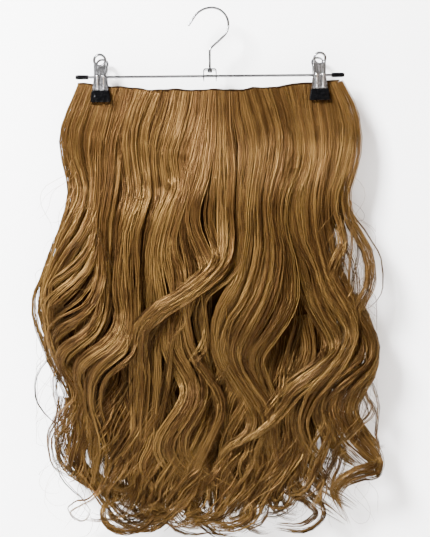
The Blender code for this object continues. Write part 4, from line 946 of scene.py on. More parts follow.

# %% [markdown]
# The broad flick at the lower right is more than one lock. Four shorter ones, listed one by
# one, join it halfway down, and two more fill the curl beside it. In the same way two locks
# wind into the ring at the lower left, three sweep along the bottom, and one fills the left.

# %% Locks that join halfway
JOINING = [
    (1.1, (48, 0, 60, 8, 86, 8), (
        48, 47, 54, 52, 60, 54, 63.5, 51.5, 66, 48.5, 69, 45.8, 72.6, 44.5, 76, 45.8, 80, 50,
        83.5, 56, 86, 60.8, 87.3, 59, 87.6, 54, 89, 48.5, 91.5, 46, 94, 47, 97, 49.5)),
    (1.1, (48, 0, 60, 7, 86, 7), (
        48, 50, 54, 56, 60, 58.2, 64, 56.5, 68, 52.5, 71.4, 49.5, 75, 49.5, 79, 53.5,
        82.5, 58.3, 84.8, 61.2, 86.5, 60.5, 87, 56, 88.5, 50, 91, 45.5, 95, 46)),
    (1.0, (48, 0, 60, 5, 86, 6), (
        48, 52, 54, 57, 60, 59.5, 64, 58.5, 68, 54.8, 71.4, 52, 75, 52, 79, 55.8, 82.3, 60,
        84.6, 61.8, 86, 60.5)),
    (1.0, (48, 0, 60, 6, 86, 6), (
        48, 44, 54, 49, 60, 50.5, 64, 47.5, 68, 43, 71.4, 40.6, 75, 41, 79, 43.5, 83, 47.5,
        85.5, 52, 86.6, 57)),
    (1.0, (48, 0, 60, 9, 86, 10), (
        48, 38, 54, 43, 60, 44, 64, 40, 68, 35.5, 72, 32.3, 76, 31, 80, 32.6, 83, 36, 85, 40.5,
        85.2, 45.5)),
    (1.0, (48, 0, 60, 6, 92, 6), (
        52, 34, 60, 36, 66, 32, 72, 28.5, 78, 28, 83, 31, 87, 36, 90.5, 40, 93.5, 39, 95, 35)),
    (1.0, (75, 0, 84, 6, 99, 8), (
        70, -55, 77.4, -57.1, 82.9, -55.6, 87.4, -50.8, 90.3, -43.4, 91.4, -34.1, 93, -25.9,
        95.6, -22.9, 98.3, -26.7, 99, -34.1, 97.4, -39.7, 94.8, -40.4, 93.4, -35.9,
        94.1, -30.4)),
    (0.8, (75, 0, 84, 5, 99, 6), (
        75, -50, 81.8, -52.7, 88.1, -47.1, 93, -41.5, 97.4, -35.9, 99.7, -28.5, 99, -21.1,
        96.3, -17.4, 94.1, -21.1, 94.8, -26.7)),
    (1.1, (72, 0, 84, 9, 99, 9), (
        72, 11, 79.6, 14.2, 86.3, 18.7, 90.7, 27.2, 93, 35, 96.3, 39.5, 99.2, 32.8, 98.5, 21.6)),
    (1.1, (70, 0, 84, 10, 99, 10), (
        70, -15, 77.4, -11.8, 84.1, -8.1, 88.5, 1.2, 91.9, 10.5, 95.7, 14.2, 98.5, 6.8, 97.9, -4.4)),
    (1.0, (72, 0, 84, 9, 100, 8), (
        72, -20, 79.6, -22.9, 85.2, -26.7, 90.7, -22.9, 94.1, -13.6, 97.4, -6.2, 100.1, -11.8)),
    (1.0, (48, 0, 60, 5, 92, 6), (
        52, -48, 60, -51, 66, -48, 72, -46.5, 78, -48.5, 83, -51.5, 86.5, -50, 88.5, -45.5,
        90, -40, 92, -35)),
]
joining_guides = [make_guide(width, reach, bends, 1.0, 0.45) for width, reach, bends in JOINING]
grow_strands("hair_joining_locks", joining_guides, {
    "Strands per Lock": 62, "Radius": 0.00034, "Shortest": 0.95, "Seed": 450})

# %% [markdown]
# A few thin strands have left their locks for good: a loop far out on the left, two small
# rings at the lower left, a faint bow on the right and some small hooks near the tips. They
# are laid out one by one again, with a handful of hairs each.

# %% Loose strands
LOOSE = [
    (0.16, (0, 3), (
        50, -60.5, 52, -60, 56, -59.8, 59, -60.3, 61, -61.5, 63, -64.3, 65, -66.2, 67, -67,
        69, -67.1, 71, -66.6, 73, -65, 75, -62.3, 76.5, -59.5, 78, -57)),
    (0.16, (0, 6), (
        68, -51, 70, -51.5, 71.5, -54, 73, -57, 74.3, -59.3, 75.8, -59.6, 77.5, -58.5,
        79.5, -56)),
    (0.10, (0, 5), (90, -42, 92.5, -47, 92.8, -51, 94.5, -54.5, 96.5, -53.8, 98, -52)),
    (0.10, (0, 6), (91, -42, 93, -46, 94, -50, 95.5, -53.5, 97, -53, 98, -50, 97, -47.5, 94, -46)),
    (0.10, (0, 3), (
        26, 50, 30, 54, 33, 58, 36, 61, 38, 63, 40, 64, 43, 64.5, 46, 64.3, 48, 63, 50, 60, 51, 57)),
    (0.30, (0, 3), (60, 55, 66, 57, 68, 60, 72, 62, 76, 61.5, 80, 61, 83, 62)),
    (0.30, (0, 4), (64, 54, 70, 57, 73, 60.5, 76, 61, 79, 60.5, 81, 61.8, 84, 62)),
    (0.30, (0, 14), (78, 6, 82, 6, 84, 4.5, 86, 5, 88, 7, 90, 10)),
    (0.30, (0, 13), (78, 13, 82, 12, 84, 10, 86, 9, 88, 10, 90, 12)),
    (0.30, (0, 13), (80, -3, 84, -3, 86, -2, 88, 0, 89, 4, 90, 8, 91, 12)),
    (0.40, (0, 14), (72, 20.5, 76, 21.5, 80, 22, 84, 23, 86, 25, 88, 28, 90, 31, 92, 33)),
    (0.30, (0, 13), (78, -34.5, 83, -34, 85, -31, 87, -27, 88.5, -24)),
    (0.20, (0, 15), (48, 4.5, 52, 4.8, 56, 4.5, 58, 4, 60, 3.5, 62, 4.5, 64, 6, 66, 8)),
    (0.30, (0, 15), (36, -39, 40, -39, 44, -38.5, 48, -37, 52, -36, 54, -35.5, 58, -36)),
    (0.25, (0, 17), (32, -42, 36, -40, 38, -38, 42, -36, 46, -34.5, 52, -34)),
    (0.20, (0, 5), (80, -57, 84, -58.5, 88, -57, 91, -53, 93, -49, 96, -46)),
    (0.20, (0, 6), (88, -20, 92, -17, 95, -15, 98, -16, 100, -19)),
    (0.20, (0, 6), (86, 8, 90, 12, 94, 13, 97, 11, 99, 7)),
    (0.20, (0, 5), (84, 26, 88, 30, 92, 30, 95, 27, 97.5, 28)),
    (0.20, (0, 5), (84, 38, 88, 41, 91, 40, 94, 37, 96.5, 38)),
]
loose_guides = [make_guide(width, reach, bends) for width, reach, bends in LOOSE]
grow_strands("hair_loose_strands", loose_guides, {
    "Strands per Lock": 9, "Strands per Wisp": 9, "Radius": 0.00024, "Wisp Width": 0.9, "Wander": 0.002,
    "Frizz": 0.0015, "Shortest": 0.95, "Seed": 600})

# %% [markdown]
# Single hairs come last. Each starts on the outline, leaves it and comes back or not. They
# are half as thick as the rest, so from a metre away they only just show.

# %% Single hairs
OUTLINE_DROPS = (0, 8, 16, 24, 32, 40, 48, 56, 64, 72, 80, 88, 94)
OUTLINE_LEFT = (-49, -55, -55, -53, -56, -59, -62, -60, -57, -54, -57, -48, -35)
OUTLINE_RIGHT = (48, 55, 55, 52, 54, 59, 59, 58, 58, 53, 57, 48, 34)
FURTHEST_ASIDE = (-66, 61.5)
single_guides = []
for number in range(150):
    drop = chance.uniform(14, 88)
    outline = OUTLINE_LEFT if number % 2 else OUTLINE_RIGHT
    side = np.interp(drop, OUTLINE_DROPS, outline) * chance.uniform(0.88, 1.0)
    bends = walked_lock(
        side, drop, min(drop + chance.uniform(8, 22), 101), chance.uniform(0.4, 1.1),
        chance.uniform(0.5, 1.1), chance.uniform(0, 6.28), chance.uniform(-2.5, 2.5),
        lean=math.copysign(0.15, side) * (drop < 70), steps=12)
    bends[:, 1] = np.clip(bends[:, 1], *FURTHEST_ASIDE)
    single_guides.append(make_guide(0.1, (0, chance.uniform(0, 8)), bends, 1.3))
for number in range(70):
    bends = walked_lock(
        chance.uniform(-40, 38), chance.uniform(76, 88), chance.uniform(95, 101), chance.uniform(0.5, 1.2),
        chance.uniform(0.5, 1.2), chance.uniform(0, 6.28), chance.uniform(-3, 3), steps=12)
    single_guides.append(make_guide(0.1, (0, chance.uniform(0, 8)), bends, 1.3))
grow_strands("hair_single_hairs", single_guides, {
    "Strands per Lock": 1, "Strands per Wisp": 1, "Radius": 0.00017, "Wisp Width": 0.1, "Wander": 0.003,
    "Frizz": 0.001, "Shortest": 0.9, "Seed": 700, "Material": FINE_MATERIAL})

# %% [markdown]
# ## Layer under the locks
# Between the locks the eye meets more hair, not daylight. A closed, pleated sheet stands for
# it, in darker tones that are painted shade. Its lower edge is ragged and ends a little above
# the tips, where the real hair thins out. Each row gives a drop, how far the sheet reaches to
# the left and right there, and how far to the front and back in millimetres.

# %% Under layer
UNDER_ROWS = np.array([
    (0, -49.2, 47.4, 0.3, 0.8), (4, -50.8, 50.4, 0.3, 0.8), (8, -53, 52.4, 0.5, 1.4),
    (13, -54, 52.6, 0.8, 2.5), (20, -51.6, 50.8, 1, 4.5), (28, -51.8, 48.6, 1, 6),
    (37, -56.5, 44, 1, 7), (46, -59.8, 44, 1, 7.5), (54, -58.8, 47, 1, 7.5), (61, -54, 48, 1, 7.5),
    (68, -45, 43, 1, 7), (75, -43.5, 40, 1, 6), (80, -41, 38, 0.8, 5), (86, -36, 33, 0.6, 4),
    (91, -29, 26, 0.4, 3), (94.5, -21, 19, 0.3, 1.5)])
RAGGED_FROM = 70.0
RAGGED_REACH = 5.0
UNDER_COLUMNS = 90
UNDER_STEP = 2.0


def object_from(bm, name):
    """An object in the scene with the faces built so far."""
    mesh = bpy.data.meshes.new(name)
    bm.to_mesh(mesh)
    bm.free()
    made = bpy.data.objects.new(name, mesh)
    bpy.context.scene.collection.objects.link(made)
    return made


def closed_sheet(name, rows_at, columns, step):
    """A closed body lofted down through the rows, with a map across and down."""
    drops = np.arange(rows_at[0, 0], rows_at[-1, 0] + step, step)
    table = np.column_stack([np.interp(drops, rows_at[:, 0], column) for column in rows_at.T])
    bm = bmesh.new()
    uv = bm.loops.layers.uv.new("OFBake")
    rings = []
    for drop, left, right, front, back in table:
        ring = []
        for i in range(2 * columns):
            across = 2 * (i / columns) - 1 if i < columns else 3 - 2 * (i / columns)
            pleat = 1 + 0.22 * math.sin(1.9 * i + 0.05 * drop)
            pleat += 0.12 * math.sin(0.73 * i - 0.11 * drop)
            edge = math.sqrt(max(0.0, 1 - abs(across) ** 8))
            reach = front if i < columns else -back
            side = (left + right) / 2 + across * (right - left) / 2
            fold = pleat if drop > 6 else 1.0
            ends = math.sin(0.83 * side) * math.sin(0.31 * side + 1) + 0.4 * math.sin(2.9 * side)
            ragged = RAGGED_REACH * ends * max(0.0, (drop - RAGGED_FROM) / (100 - RAGGED_FROM))
            ring.append(bm.verts.new(hair_point(drop + ragged, side, reach * edge * fold / 1000)))
        rings.append(ring)
    count = 2 * columns
    for j, (above, below) in enumerate(zip(rings, rings[1:])):
        for i in range(count):
            k = (i + 1) % count
            face = bm.faces.new((above[i], above[k], below[k], below[i]))
            for loop, (a, b) in zip(face.loops, ((i, j), (i + 1, j), (i + 1, j + 1), (i, j + 1))):
                loop[uv].uv = (a / count, 1 - b / len(rings))
    for ring in (rings[0], rings[-1]):
        for i in range(columns):
            corners = [ring[i], ring[i + 1], ring[(-i - 1) % count], ring[(-i) % count]]
            bm.faces.new(dict.fromkeys(corners))
    bmesh.ops.recalc_face_normals(bm, faces=bm.faces)
    piece = object_from(bm, name)
    piece.data.shade_smooth()
    return piece


under = closed_sheet("hair_under_layer_painted_shade", UNDER_ROWS, UNDER_COLUMNS, UNDER_STEP)
under.data.materials.append(UNDER_PAINTED_SHADE_MATERIAL)
finish_piece(under, "hair_fibre", "hair")

# %% [markdown]
# ## Worn metal and rubber
# Chrome, spring steel, rubber and enamel all carry the same kind of fine unevenness: smudges
# that blur a reflection here and there, and hairlines from handling. One shader group makes
# both, and each material takes from it what it needs. The chrome has three tones, two of them
# painted light and shade: plate for the jaws, a darker one with painted shade for the wires,
# because a thin wire mirrors mostly the bright room, and a lighter one with a painted
# highlight for the crests of the ribs.

# %% Shader group for handled surfaces
wear_group, start, end = new_shader_group(
    "handled_surface",
    [("Smudge Scale", "NodeSocketFloat", 180.0), ("Scratch Scale", "NodeSocketFloat", 900.0)],
    [("Smudges", "NodeSocketFloat"), ("Scratches", "NodeSocketFloat")])
place = add_node(wear_group, "ShaderNodeTexCoord").outputs["Object"]
smudges = add_noise(wear_group, place, start.outputs["Smudge Scale"], 4.0, 0.6)
stretched = add_node(
    wear_group, "ShaderNodeMapping",
    {0: place, 2: (0.4, 0.2, 0.9), 3: (1.0, 1.0, 0.06)}).outputs[0]
scratches = add_noise(wear_group, stretched, start.outputs["Scratch Scale"], 2.0)
wear_group.links.new(ramp(wear_group, smudges, 0.35, 0.7), end.inputs["Smudges"])
wear_group.links.new(ramp(wear_group, scratches, 0.45, 0.62), end.inputs["Scratches"])


def handled_material(
        name, smudge_scale, scratch_scale, colours, roughness, bump, constants, polish=0.0):
    """A material whose colour, roughness, bump and polish follow smudges and scratches."""
    material, tree, shader = new_material(name)
    wear = add_node(tree, "ShaderNodeGroup", node_tree=wear_group)
    wear.inputs["Smudge Scale"].default_value = smudge_scale
    wear.inputs["Scratch Scale"].default_value = scratch_scale
    tone = mix_colours(tree, wear.outputs["Smudges"], (*colours[0], 1), (*colours[1], 1))
    tree.links.new(tone, shader.inputs["Base Color"])
    rough = ramp(tree, wear.outputs["Smudges"], 0.0, 1.0, *roughness)
    rough = add_math(tree, "MULTIPLY_ADD", wear.outputs["Scratches"], 0.06, rough)
    tree.links.new(rough, shader.inputs["Roughness"])
    height = add_math(tree, "ADD", wear.outputs["Scratches"], wear.outputs["Smudges"])
    bumped = add_node(
        tree, "ShaderNodeBump", {"Height": height, "Strength": bump, "Distance": 0.0001})
    tree.links.new(bumped.outputs[0], shader.inputs["Normal"])
    for label, value in constants.items():
        shader.inputs[label].default_value = value
    if polish:
        coat = ramp(tree, wear.outputs["Smudges"], 0.55, 1.0, 0.0, polish)
        tree.links.new(coat, shader.inputs["Coat Weight"])
    return material


METAL = {"Metallic": 1.0}
CHROME = handled_material(
    "chrome_plate", 160.0, 700.0, ((0.30, 0.30, 0.305), (0.24, 0.24, 0.245)),
    (0.18, 0.26), 0.015, METAL)
# Painted shade: a darker chrome for the hook, bar, bracket and rims.
WIRE_CHROME_PAINTED_SHADE = handled_material(
    "chrome_wire_painted_shade", 200.0, 900.0, ((0.13, 0.13, 0.133), (0.085, 0.085, 0.088)),
    (0.14, 0.24), 0.05, METAL)
# Painted highlight: a paler chrome for the crests of the ribs.
BEAD_CHROME_PAINTED_HIGHLIGHT = handled_material(
    "chrome_beads_painted_highlight", 200.0, 900.0, ((0.66, 0.66, 0.66), (0.52, 0.52, 0.52)),
    (0.20, 0.30), 0.03, METAL)
SPRING_STEEL = handled_material(
    "spring_steel", 260.0, 1500.0, ((0.12, 0.115, 0.11), (0.07, 0.067, 0.062)),
    (0.26, 0.42), 0.12, METAL)
RUBBER = handled_material(
    "black_rubber", 420.0, 1200.0, ((0.0009, 0.0009, 0.0010), (0.0018, 0.0018, 0.0020)),
    (0.14, 0.26), 0.10, {"Specular IOR Level": 0.015, "Coat Roughness": 0.12}, 0.16)
ENAMEL = handled_material(
    "brown_enamel", 300.0, 900.0, ((0.022, 0.010, 0.005), (0.014, 0.0065, 0.0032)),
    (0.28, 0.44), 0.10,
    {"Specular IOR Level": 0.05, "Coat Weight": 0.04, "Coat Roughness": 0.2})
for material in (CHROME, WIRE_CHROME_PAINTED_SHADE, BEAD_CHROME_PAINTED_HIGHLIGHT, SPRING_STEEL, RUBBER, ENAMEL):
    print("material:", material.name)

# %% [markdown]
# ## Round wire
# The hook, the bar, the two springs and the sewing thread are all wire: a path with a radius
# at each of its points. One Geometry Nodes tree turns a chain of edges into such a wire, so
# that the number of sides is one input. A radius that falls to nothing over the last few
# points gives a round end.

# %% Wire tree
wire_tree, start, end = new_geometry_tree("round_wire", [
    ("Sides", "NodeSocketInt", 16), ("Material", "NodeSocketMaterial", None)])
curves = add_node(
    wire_tree, "GeometryNodeMeshToCurve", {"Mesh": start.outputs["Geometry"]}).outputs[0]
profile = add_node(
    wire_tree, "GeometryNodeCurvePrimitiveCircle",
    {"Resolution": start.outputs["Sides"], "Radius": 1.0}, mode="RADIUS").outputs[0]
tubes = add_node(wire_tree, "GeometryNodeCurveToMesh", {
    "Curve": curves, "Profile Curve": profile, "Scale": named(wire_tree, "radius"),
    "Fill Caps": True}).outputs[0]
finish_tree(wire_tree, tubes, start, end)


def wire_mesh(name, paths):
    """Paths of x, y, z and radius as chains of edges."""
    points, edges = [], []
    for path in paths:
        edges += [(len(points) + i, len(points) + i + 1) for i in range(len(path) - 1)]
        points += [tuple(row) for row in path]
    mesh = bpy.data.meshes.new(name)
    mesh.from_pydata([row[:3] for row in points], edges, [])
    radii = mesh.attributes.new("radius", "FLOAT", "POINT")
    radii.data.foreach_set("value", [row[3] for row in points])
    return mesh


def round_ends(path, radius, steps=5):
    """A path with its radius, and with both ends rounded."""
    path = [Vector(p) for p in path]
    rows = []
    for tip, inner in ((path[0], path[1]), (path[-1], path[-2])):
        inwards = (inner - tip).normalized()
        end_rows = []
        for i in range(steps + 1):
            angle = math.pi / 2 * i / steps
            at = tip + inwards * radius * (1 - math.cos(angle))
            end_rows.append((*at, max(radius * math.sin(angle), radius * 0.02)))
        rows.append(end_rows)
    return rows[0] + [(*p, radius) for p in path[1:-1]] + rows[1][::-1]


def make_wire(name, paths, sides, material, slot, *replaced):
    """A piece of wire along some paths with radii."""
    source = wire_mesh(name + "_path", paths)
    piece = grow(wire_tree, source, name, {"Sides": sides, "Material": material})
    return finish_piece(piece, slot, *replaced)


print("wire tree:", len(wire_tree.nodes), "nodes")

# %% [markdown]
# ## Hook and bar
# The hook is one bent wire: a straight tip, an arc over the top that gets tighter on the
# right, a run back to the middle, a small bend and the stem. Its arcs are drawn by their
# centres, radii and angles, as a bending jig would have them, and its foot is riveted over.
# The bar is a straight wire.

# %% Hook and bar
WIRE_RADIUS = 0.00135
ROUND_X = 0.0024
LEFT_RADIUS = 0.0240
LEFT_END = 146
RIGHT_RADIUS = 0.0194
RIGHT_END = -48
HOOK_TOP = 0.00135
TIP_LENGTH = 0.0124
BEND_RADIUS = 0.0060
STEM_FOOT = -0.0715
RIVET_RADIUS = 0.0026
RIVET_HEIGHTS = (-0.0709, -0.0714, -0.0720)
BAR_Z = -0.0775
BAR_RADIUS = 0.0015


def arc_points(centre, radius, first, last, count):
    """Points in the hanger's plane on an arc between two angles in degrees."""
    points = []
    for angle in np.radians(np.linspace(first, last, count)):
        aside, up = radius * math.cos(angle), radius * math.sin(angle)
        points.append(Vector((centre[0] + aside, 0, centre[1] + up)))
    return points


left_arc = arc_points((ROUND_X, HOOK_TOP - LEFT_RADIUS), LEFT_RADIUS, LEFT_END, 90, 22)
right_arc = arc_points((ROUND_X, HOOK_TOP - RIGHT_RADIUS), RIGHT_RADIUS, 90, RIGHT_END, 44)
tip_turn = math.radians(LEFT_END + 90)
tip = left_arc[0] + Vector((math.cos(tip_turn), 0, math.sin(tip_turn))) * TIP_LENGTH
lean = math.radians(-RIGHT_END)
corner_z = right_arc[-1].z - right_arc[-1].x / math.sin(lean) * math.cos(lean)
bend_z = corner_z - BEND_RADIUS * math.tan(lean / 2)
bend = arc_points((BEND_RADIUS, bend_z), BEND_RADIUS, 180 + RIGHT_END, 180, 10)
hook_path = [tip, *left_arc, *right_arc[1:], *bend, Vector((0, 0, STEM_FOOT))]
rivet_path = [Vector((0, 0, z)) for z in RIVET_HEIGHTS]
make_wire(
    "hanger_hook_wire",
    [round_ends(hook_path, WIRE_RADIUS), round_ends(rivet_path, RIVET_RADIUS, 2)],
    24, WIRE_CHROME_PAINTED_SHADE, "chrome", "hanger_hook")
bar_low, bar_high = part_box("hanger_bar")
bar_path = [Vector((x, 0, BAR_Z)) for x in np.linspace(bar_low[0], bar_high[0], 9)]
make_wire(
    "hanger_bar_wire", [round_ends(bar_path, BAR_RADIUS)], 28, WIRE_CHROME_PAINTED_SHADE, "chrome",
    "hanger_bar")

# %% [markdown]
# ## Pressed parts
# The bracket, the jaws and the snap clips are stamped from sheet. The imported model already
# has their shape with hard edges, while a stamped edge is slightly round and catches a thin
# line of light. So each is a merged copy of its solid with a narrow bevel.

# %% Pressed parts with rounded edges
SHARP_ANGLE = math.radians(30)
FLAT_ANGLE = math.radians(0.6)
MERGE_DISTANCE = 2e-6
BRACKET_EDGE = 0.00022
JAW_EDGE = 0.00016
SNAP_CLIP_EDGE = 0.00030


def rounded_copy(node, name, width):
    """A node's mesh again, merged, with its edges rounded."""
    bm = bmesh.new()
    bm.from_mesh(nodes[node].data)
    bmesh.ops.remove_doubles(bm, verts=bm.verts, dist=MERGE_DISTANCE)
    bmesh.ops.dissolve_limit(bm, angle_limit=FLAT_ANGLE, verts=bm.verts, edges=bm.edges)
    piece = object_from(bm, name)
    mesh = piece.data
    mesh.shade_smooth()
    mesh.set_sharp_from_angle(angle=SHARP_ANGLE)
    bevel = piece.modifiers.new("rounded", "BEVEL")
    bevel.width = width
    bevel.segments = 2
    bevel.limit_method = "ANGLE"
    bevel.angle_limit = SHARP_ANGLE
    bevel.harden_normals = True
    graph = bpy.context.evaluated_depsgraph_get()
    finished = bpy.data.meshes.new_from_object(piece.evaluated_get(graph))
    piece.modifiers.clear()
    piece.data = finished
    bpy.data.meshes.remove(mesh)
    return piece


def pressed_part(node, material, slot, width):
    """A stamped part that replaces its node."""
    piece = rounded_copy(node, node + "_pressed", width)
    piece.data.materials.clear()
    piece.data.materials.append(material)
    return finish_piece(piece, slot, node)


pressed_part("hook_bracket", WIRE_CHROME_PAINTED_SHADE, "chrome", BRACKET_EDGE)
for side in ("left", "right"):
    for jaw in ("front", "back"):
        pressed_part(f"clip_{side}_{jaw}_jaw", CHROME, "chrome", JAW_EDGE)
for number in range(1, 5):
    pressed_part(f"snap_clip_{number}", ENAMEL, "snap_clip_metal", SNAP_CLIP_EDGE)

# %% [markdown]
# The hole in each jaw's head has a rolled rim, a ring of wire as seen from the front. Its
# depth comes from the head's own slope, read off the corners of the hole.

# %% Rolled rims
CLIP_X = 0.1257
HEAD_Z = BAR_Z + 0.0174
HOLE_RADIUS = 0.0050
NEAR_THE_HOLE = 0.0004
RIM_RING = 0.0062
RIM_RADIUS = 0.0009
RIM_STEPS = 40
for side, direction in (("left", -1), ("right", 1)):
    for jaw in ("front", "back"):
        centre = Vector((direction * CLIP_X, 0, HEAD_Z))
        hole = [
            v.co for v in nodes[f"clip_{side}_{jaw}_jaw"].data.vertices
            if abs(math.hypot(v.co.x - centre.x, v.co.z - centre.z) - HOLE_RADIUS)
            < NEAR_THE_HOLE]
        slope, level = np.polyfit([c.z for c in hole], [c.y for c in hole], 1)
        ring = []
        for i in range(RIM_STEPS + 1):
            angle = 2 * math.pi * i / RIM_STEPS
            z = centre.z + RIM_RING * math.sin(angle)
            ring.append((centre.x + RIM_RING * math.cos(angle), slope * z + level, z, RIM_RADIUS))
        make_wire(
            f"clip_{side}_{jaw}_rim", [ring], 12, WIRE_CHROME_PAINTED_SHADE, "chrome",
            f"clip_{side}_{jaw}_jaw")

# %% [markdown]
# The two ribs of a front jaw are drawn out to round crests, which gather the light into thin
# lines. Each crest is a bead along its rib, sunk halfway into it, in a paler chrome that is a
# painted highlight.

# %% Beads on the ribs
RIB_X = 0.0035
BEAD_RADIUS = 0.0011
CREST_TOP = Vector((0, -0.0079, 0.0006))
CREST_FOOT = Vector((0, -0.0057, -0.0152))
for side, direction in (("left", -1), ("right", 1)):
    beads = []
    for rib_x in (direction * CLIP_X - RIB_X, direction * CLIP_X + RIB_X):
        rib = Vector((rib_x, 0, BAR_Z))
        path = [rib + CREST_TOP.lerp(CREST_FOOT, share) for share in (0, 0.3, 0.7, 1)]
        beads.append(round_ends(path, BEAD_RADIUS))
    make_wire(
        f"clip_{side}_rib_beads", beads, 20, BEAD_CHROME_PAINTED_HIGHLIGHT, "chrome", f"clip_{side}_front_jaw")

# %% [markdown]
# ## Springs
# Each clip has a coil round the bar, whose two arms press the handles apart. A helix has far
# more points here than in the solid, so that the turns are round.

# %% Springs
COIL_RADIUS = 0.0027
COIL_WIRE = 0.00055
COIL_TURNS = 3.5
COIL_PITCH = 0.0016
POINTS_PER_TURN = 22
for side, direction in (("left", -1), ("right", 1)):
    low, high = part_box(f"clip_{side}_spring")
    coil = []
    for i in range(round(COIL_TURNS * POINTS_PER_TURN) + 1):
        turn = i / POINTS_PER_TURN
        angle = math.pi - 2 * math.pi * turn
        coil.append(Vector((
            direction * CLIP_X + COIL_PITCH * (turn - COIL_TURNS / 2),
            COIL_RADIUS * math.cos(angle), BAR_Z + COIL_RADIUS * math.sin(angle))))
    front_tip = Vector((coil[0].x, low[1] + COIL_WIRE, high[2] - COIL_WIRE))
    back_tip = Vector((coil[-1].x, high[1] - COIL_WIRE, high[2] - COIL_WIRE))
    path = [front_tip, front_tip.lerp(coil[0], 0.5), *coil, back_tip.lerp(coil[-1], 0.5), back_tip]
    make_wire(
        f"clip_{side}_spring_coil", [round_ends(path, COIL_WIRE, 3)], 10, SPRING_STEEL,
        "spring_steel", f"clip_{side}_spring")

# %% [markdown]
# ## Rubber boots and caps
# The jaws grip with rubber boots. A boot is lofted from rings: wider at its foot, with two
# swellings where the jaw's ribs press from inside and a notch between them. The caps on the
# bar are turned, so a profile swept round the bar's axis makes them.

# %% Boots
BOOT_RING = 64
SWELLING_ASIDE = 0.0050
SWELLING_DOWN = 0.0076
SWELLING_WIDTH = 0.0016
SWELLING_HEIGHT = 0.0010
NOTCH_WIDTH = 0.0007
NOTCH_DEPTH = 0.0009
NOTCH_REACH = 0.55
BOOT_HEIGHT = 0.0128
BOOT_TOP_HALF_WIDTH = 0.0100
BOOT_FLARE = 0.0020
BOOT_SQUARENESS = 0.35
SOFT_CORNER = math.radians(60)
BOOT_SHAPE = (
    (0.0000, 0.84), (0.0003, 0.95), (0.0009, 1.0), (0.0022, 1.0), (0.0036, 1.0),
    (0.0050, 1.0), (0.0064, 1.0), (0.0078, 1.0), (0.0092, 1.0), (0.0106, 1.0),
    (0.0117, 1.0), (0.0124, 0.96), (BOOT_HEIGHT, 0.86))


def squared(value):
    """A cosine or sine that makes a circle into a square with round corners."""
    return math.copysign(abs(value) ** BOOT_SQUARENESS, value)


def join_rings(bm, rings):
    """Faces between each ring of points and the next."""
    for one, other in zip(rings, rings[1:]):
        for i in range(len(one)):
            k = (i + 1) % len(one)
            bm.faces.new((one[i], one[k], other[k], other[i]))


def finish_rubber(bm, name, node):
    """The faces built so far as a rubber piece that replaces its node."""
    bmesh.ops.recalc_face_normals(bm, faces=bm.faces)
    piece = object_from(bm, name)
    piece.data.shade_smooth()
    piece.data.set_sharp_from_angle(angle=SOFT_CORNER)
    piece.data.materials.append(RUBBER)
    return finish_piece(piece, "black_rubber", node)


def make_boot(node, facing):
    """A rubber boot in its node's box."""
    low, high = (Vector(corner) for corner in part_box(node))
    middle = (low + high) / 2
    half_depth = (high.y - low.y) / 2
    bm = bmesh.new()
    rings = []
    for down, inset in BOOT_SHAPE:
        share = down / BOOT_HEIGHT
        half_width = (BOOT_TOP_HALF_WIDTH + BOOT_FLARE * share) - (1 - inset) * half_depth
        ring = []
        for i in range(BOOT_RING):
            angle = 2 * math.pi * i / BOOT_RING
            c, s = math.cos(angle), math.sin(angle)
            x = half_width * squared(c)
            y = half_depth * inset * squared(s)
            if facing * s > 0:
                swelling = sum(
                    math.exp(-((x - at) ** 2 + (down - SWELLING_DOWN) ** 2) / SWELLING_WIDTH ** 2)
                    for at in (-SWELLING_ASIDE, SWELLING_ASIDE))
                notch = math.exp(-(x / NOTCH_WIDTH) ** 2) * (share < NOTCH_REACH)
                y += facing * (SWELLING_HEIGHT * swelling - NOTCH_DEPTH * notch)
            ring.append(bm.verts.new((middle.x + x, middle.y + y, high.z - down)))
        rings.append(ring)
    join_rings(bm, rings)
    bm.faces.new(rings[0])
    bm.faces.new(rings[-1])
    return finish_rubber(bm, node + "_boot", node)


for side in ("left", "right"):
    make_boot(f"clip_{side}_front_pad", -1)
    make_boot(f"clip_{side}_back_pad", 1)

# %% Caps on the bar's ends
CAP_PROFILE = (
    (0.0019, 0.0000), (0.0024, 0.0000), (0.0027, 0.0004), (0.0027, 0.0010), (0.0025, 0.0014),
    (0.0026, 0.0022), (0.0027, 0.0060), (0.0027, 0.0110), (0.0026, 0.0128), (0.0023, 0.0140),
    (0.0017, 0.0147), (0.0009, 0.0150), (0.0000, 0.0150))
CAP_STEPS = 36
for side, direction in (("left", -1), ("right", 1)):
    low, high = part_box(f"bar_cap_{side}")
    start_x = low[0] if direction > 0 else high[0]
    bm = bmesh.new()
    rings = []
    for radius, along in CAP_PROFILE[:-1]:
        ring = []
        for i in range(CAP_STEPS):
            angle = 2 * math.pi * i / CAP_STEPS
            y, up = radius * math.cos(angle), radius * math.sin(angle)
            ring.append(bm.verts.new((start_x + direction * along, y, BAR_Z + up)))
        rings.append(ring)
    tip = bm.verts.new((start_x + direction * CAP_PROFILE[-1][1], 0, BAR_Z))
    join_rings(bm, rings)
    for i in range(CAP_STEPS):
        bm.faces.new((rings[-1][i], rings[-1][(i + 1) % CAP_STEPS], tip))
    bm.faces.new(rings[0])
    finish_rubber(bm, f"bar_cap_{side}_turned", f"bar_cap_{side}")

# %% [markdown]
# ## Weft
# The hair is sewn to a thin band. Its thread runs over the band again and again, so one small
# loop is repeated along the band's line by a Geometry Nodes tree, each turned a little.
# Under the loops lies the band's core, and at each end the thread is wound into a knot.

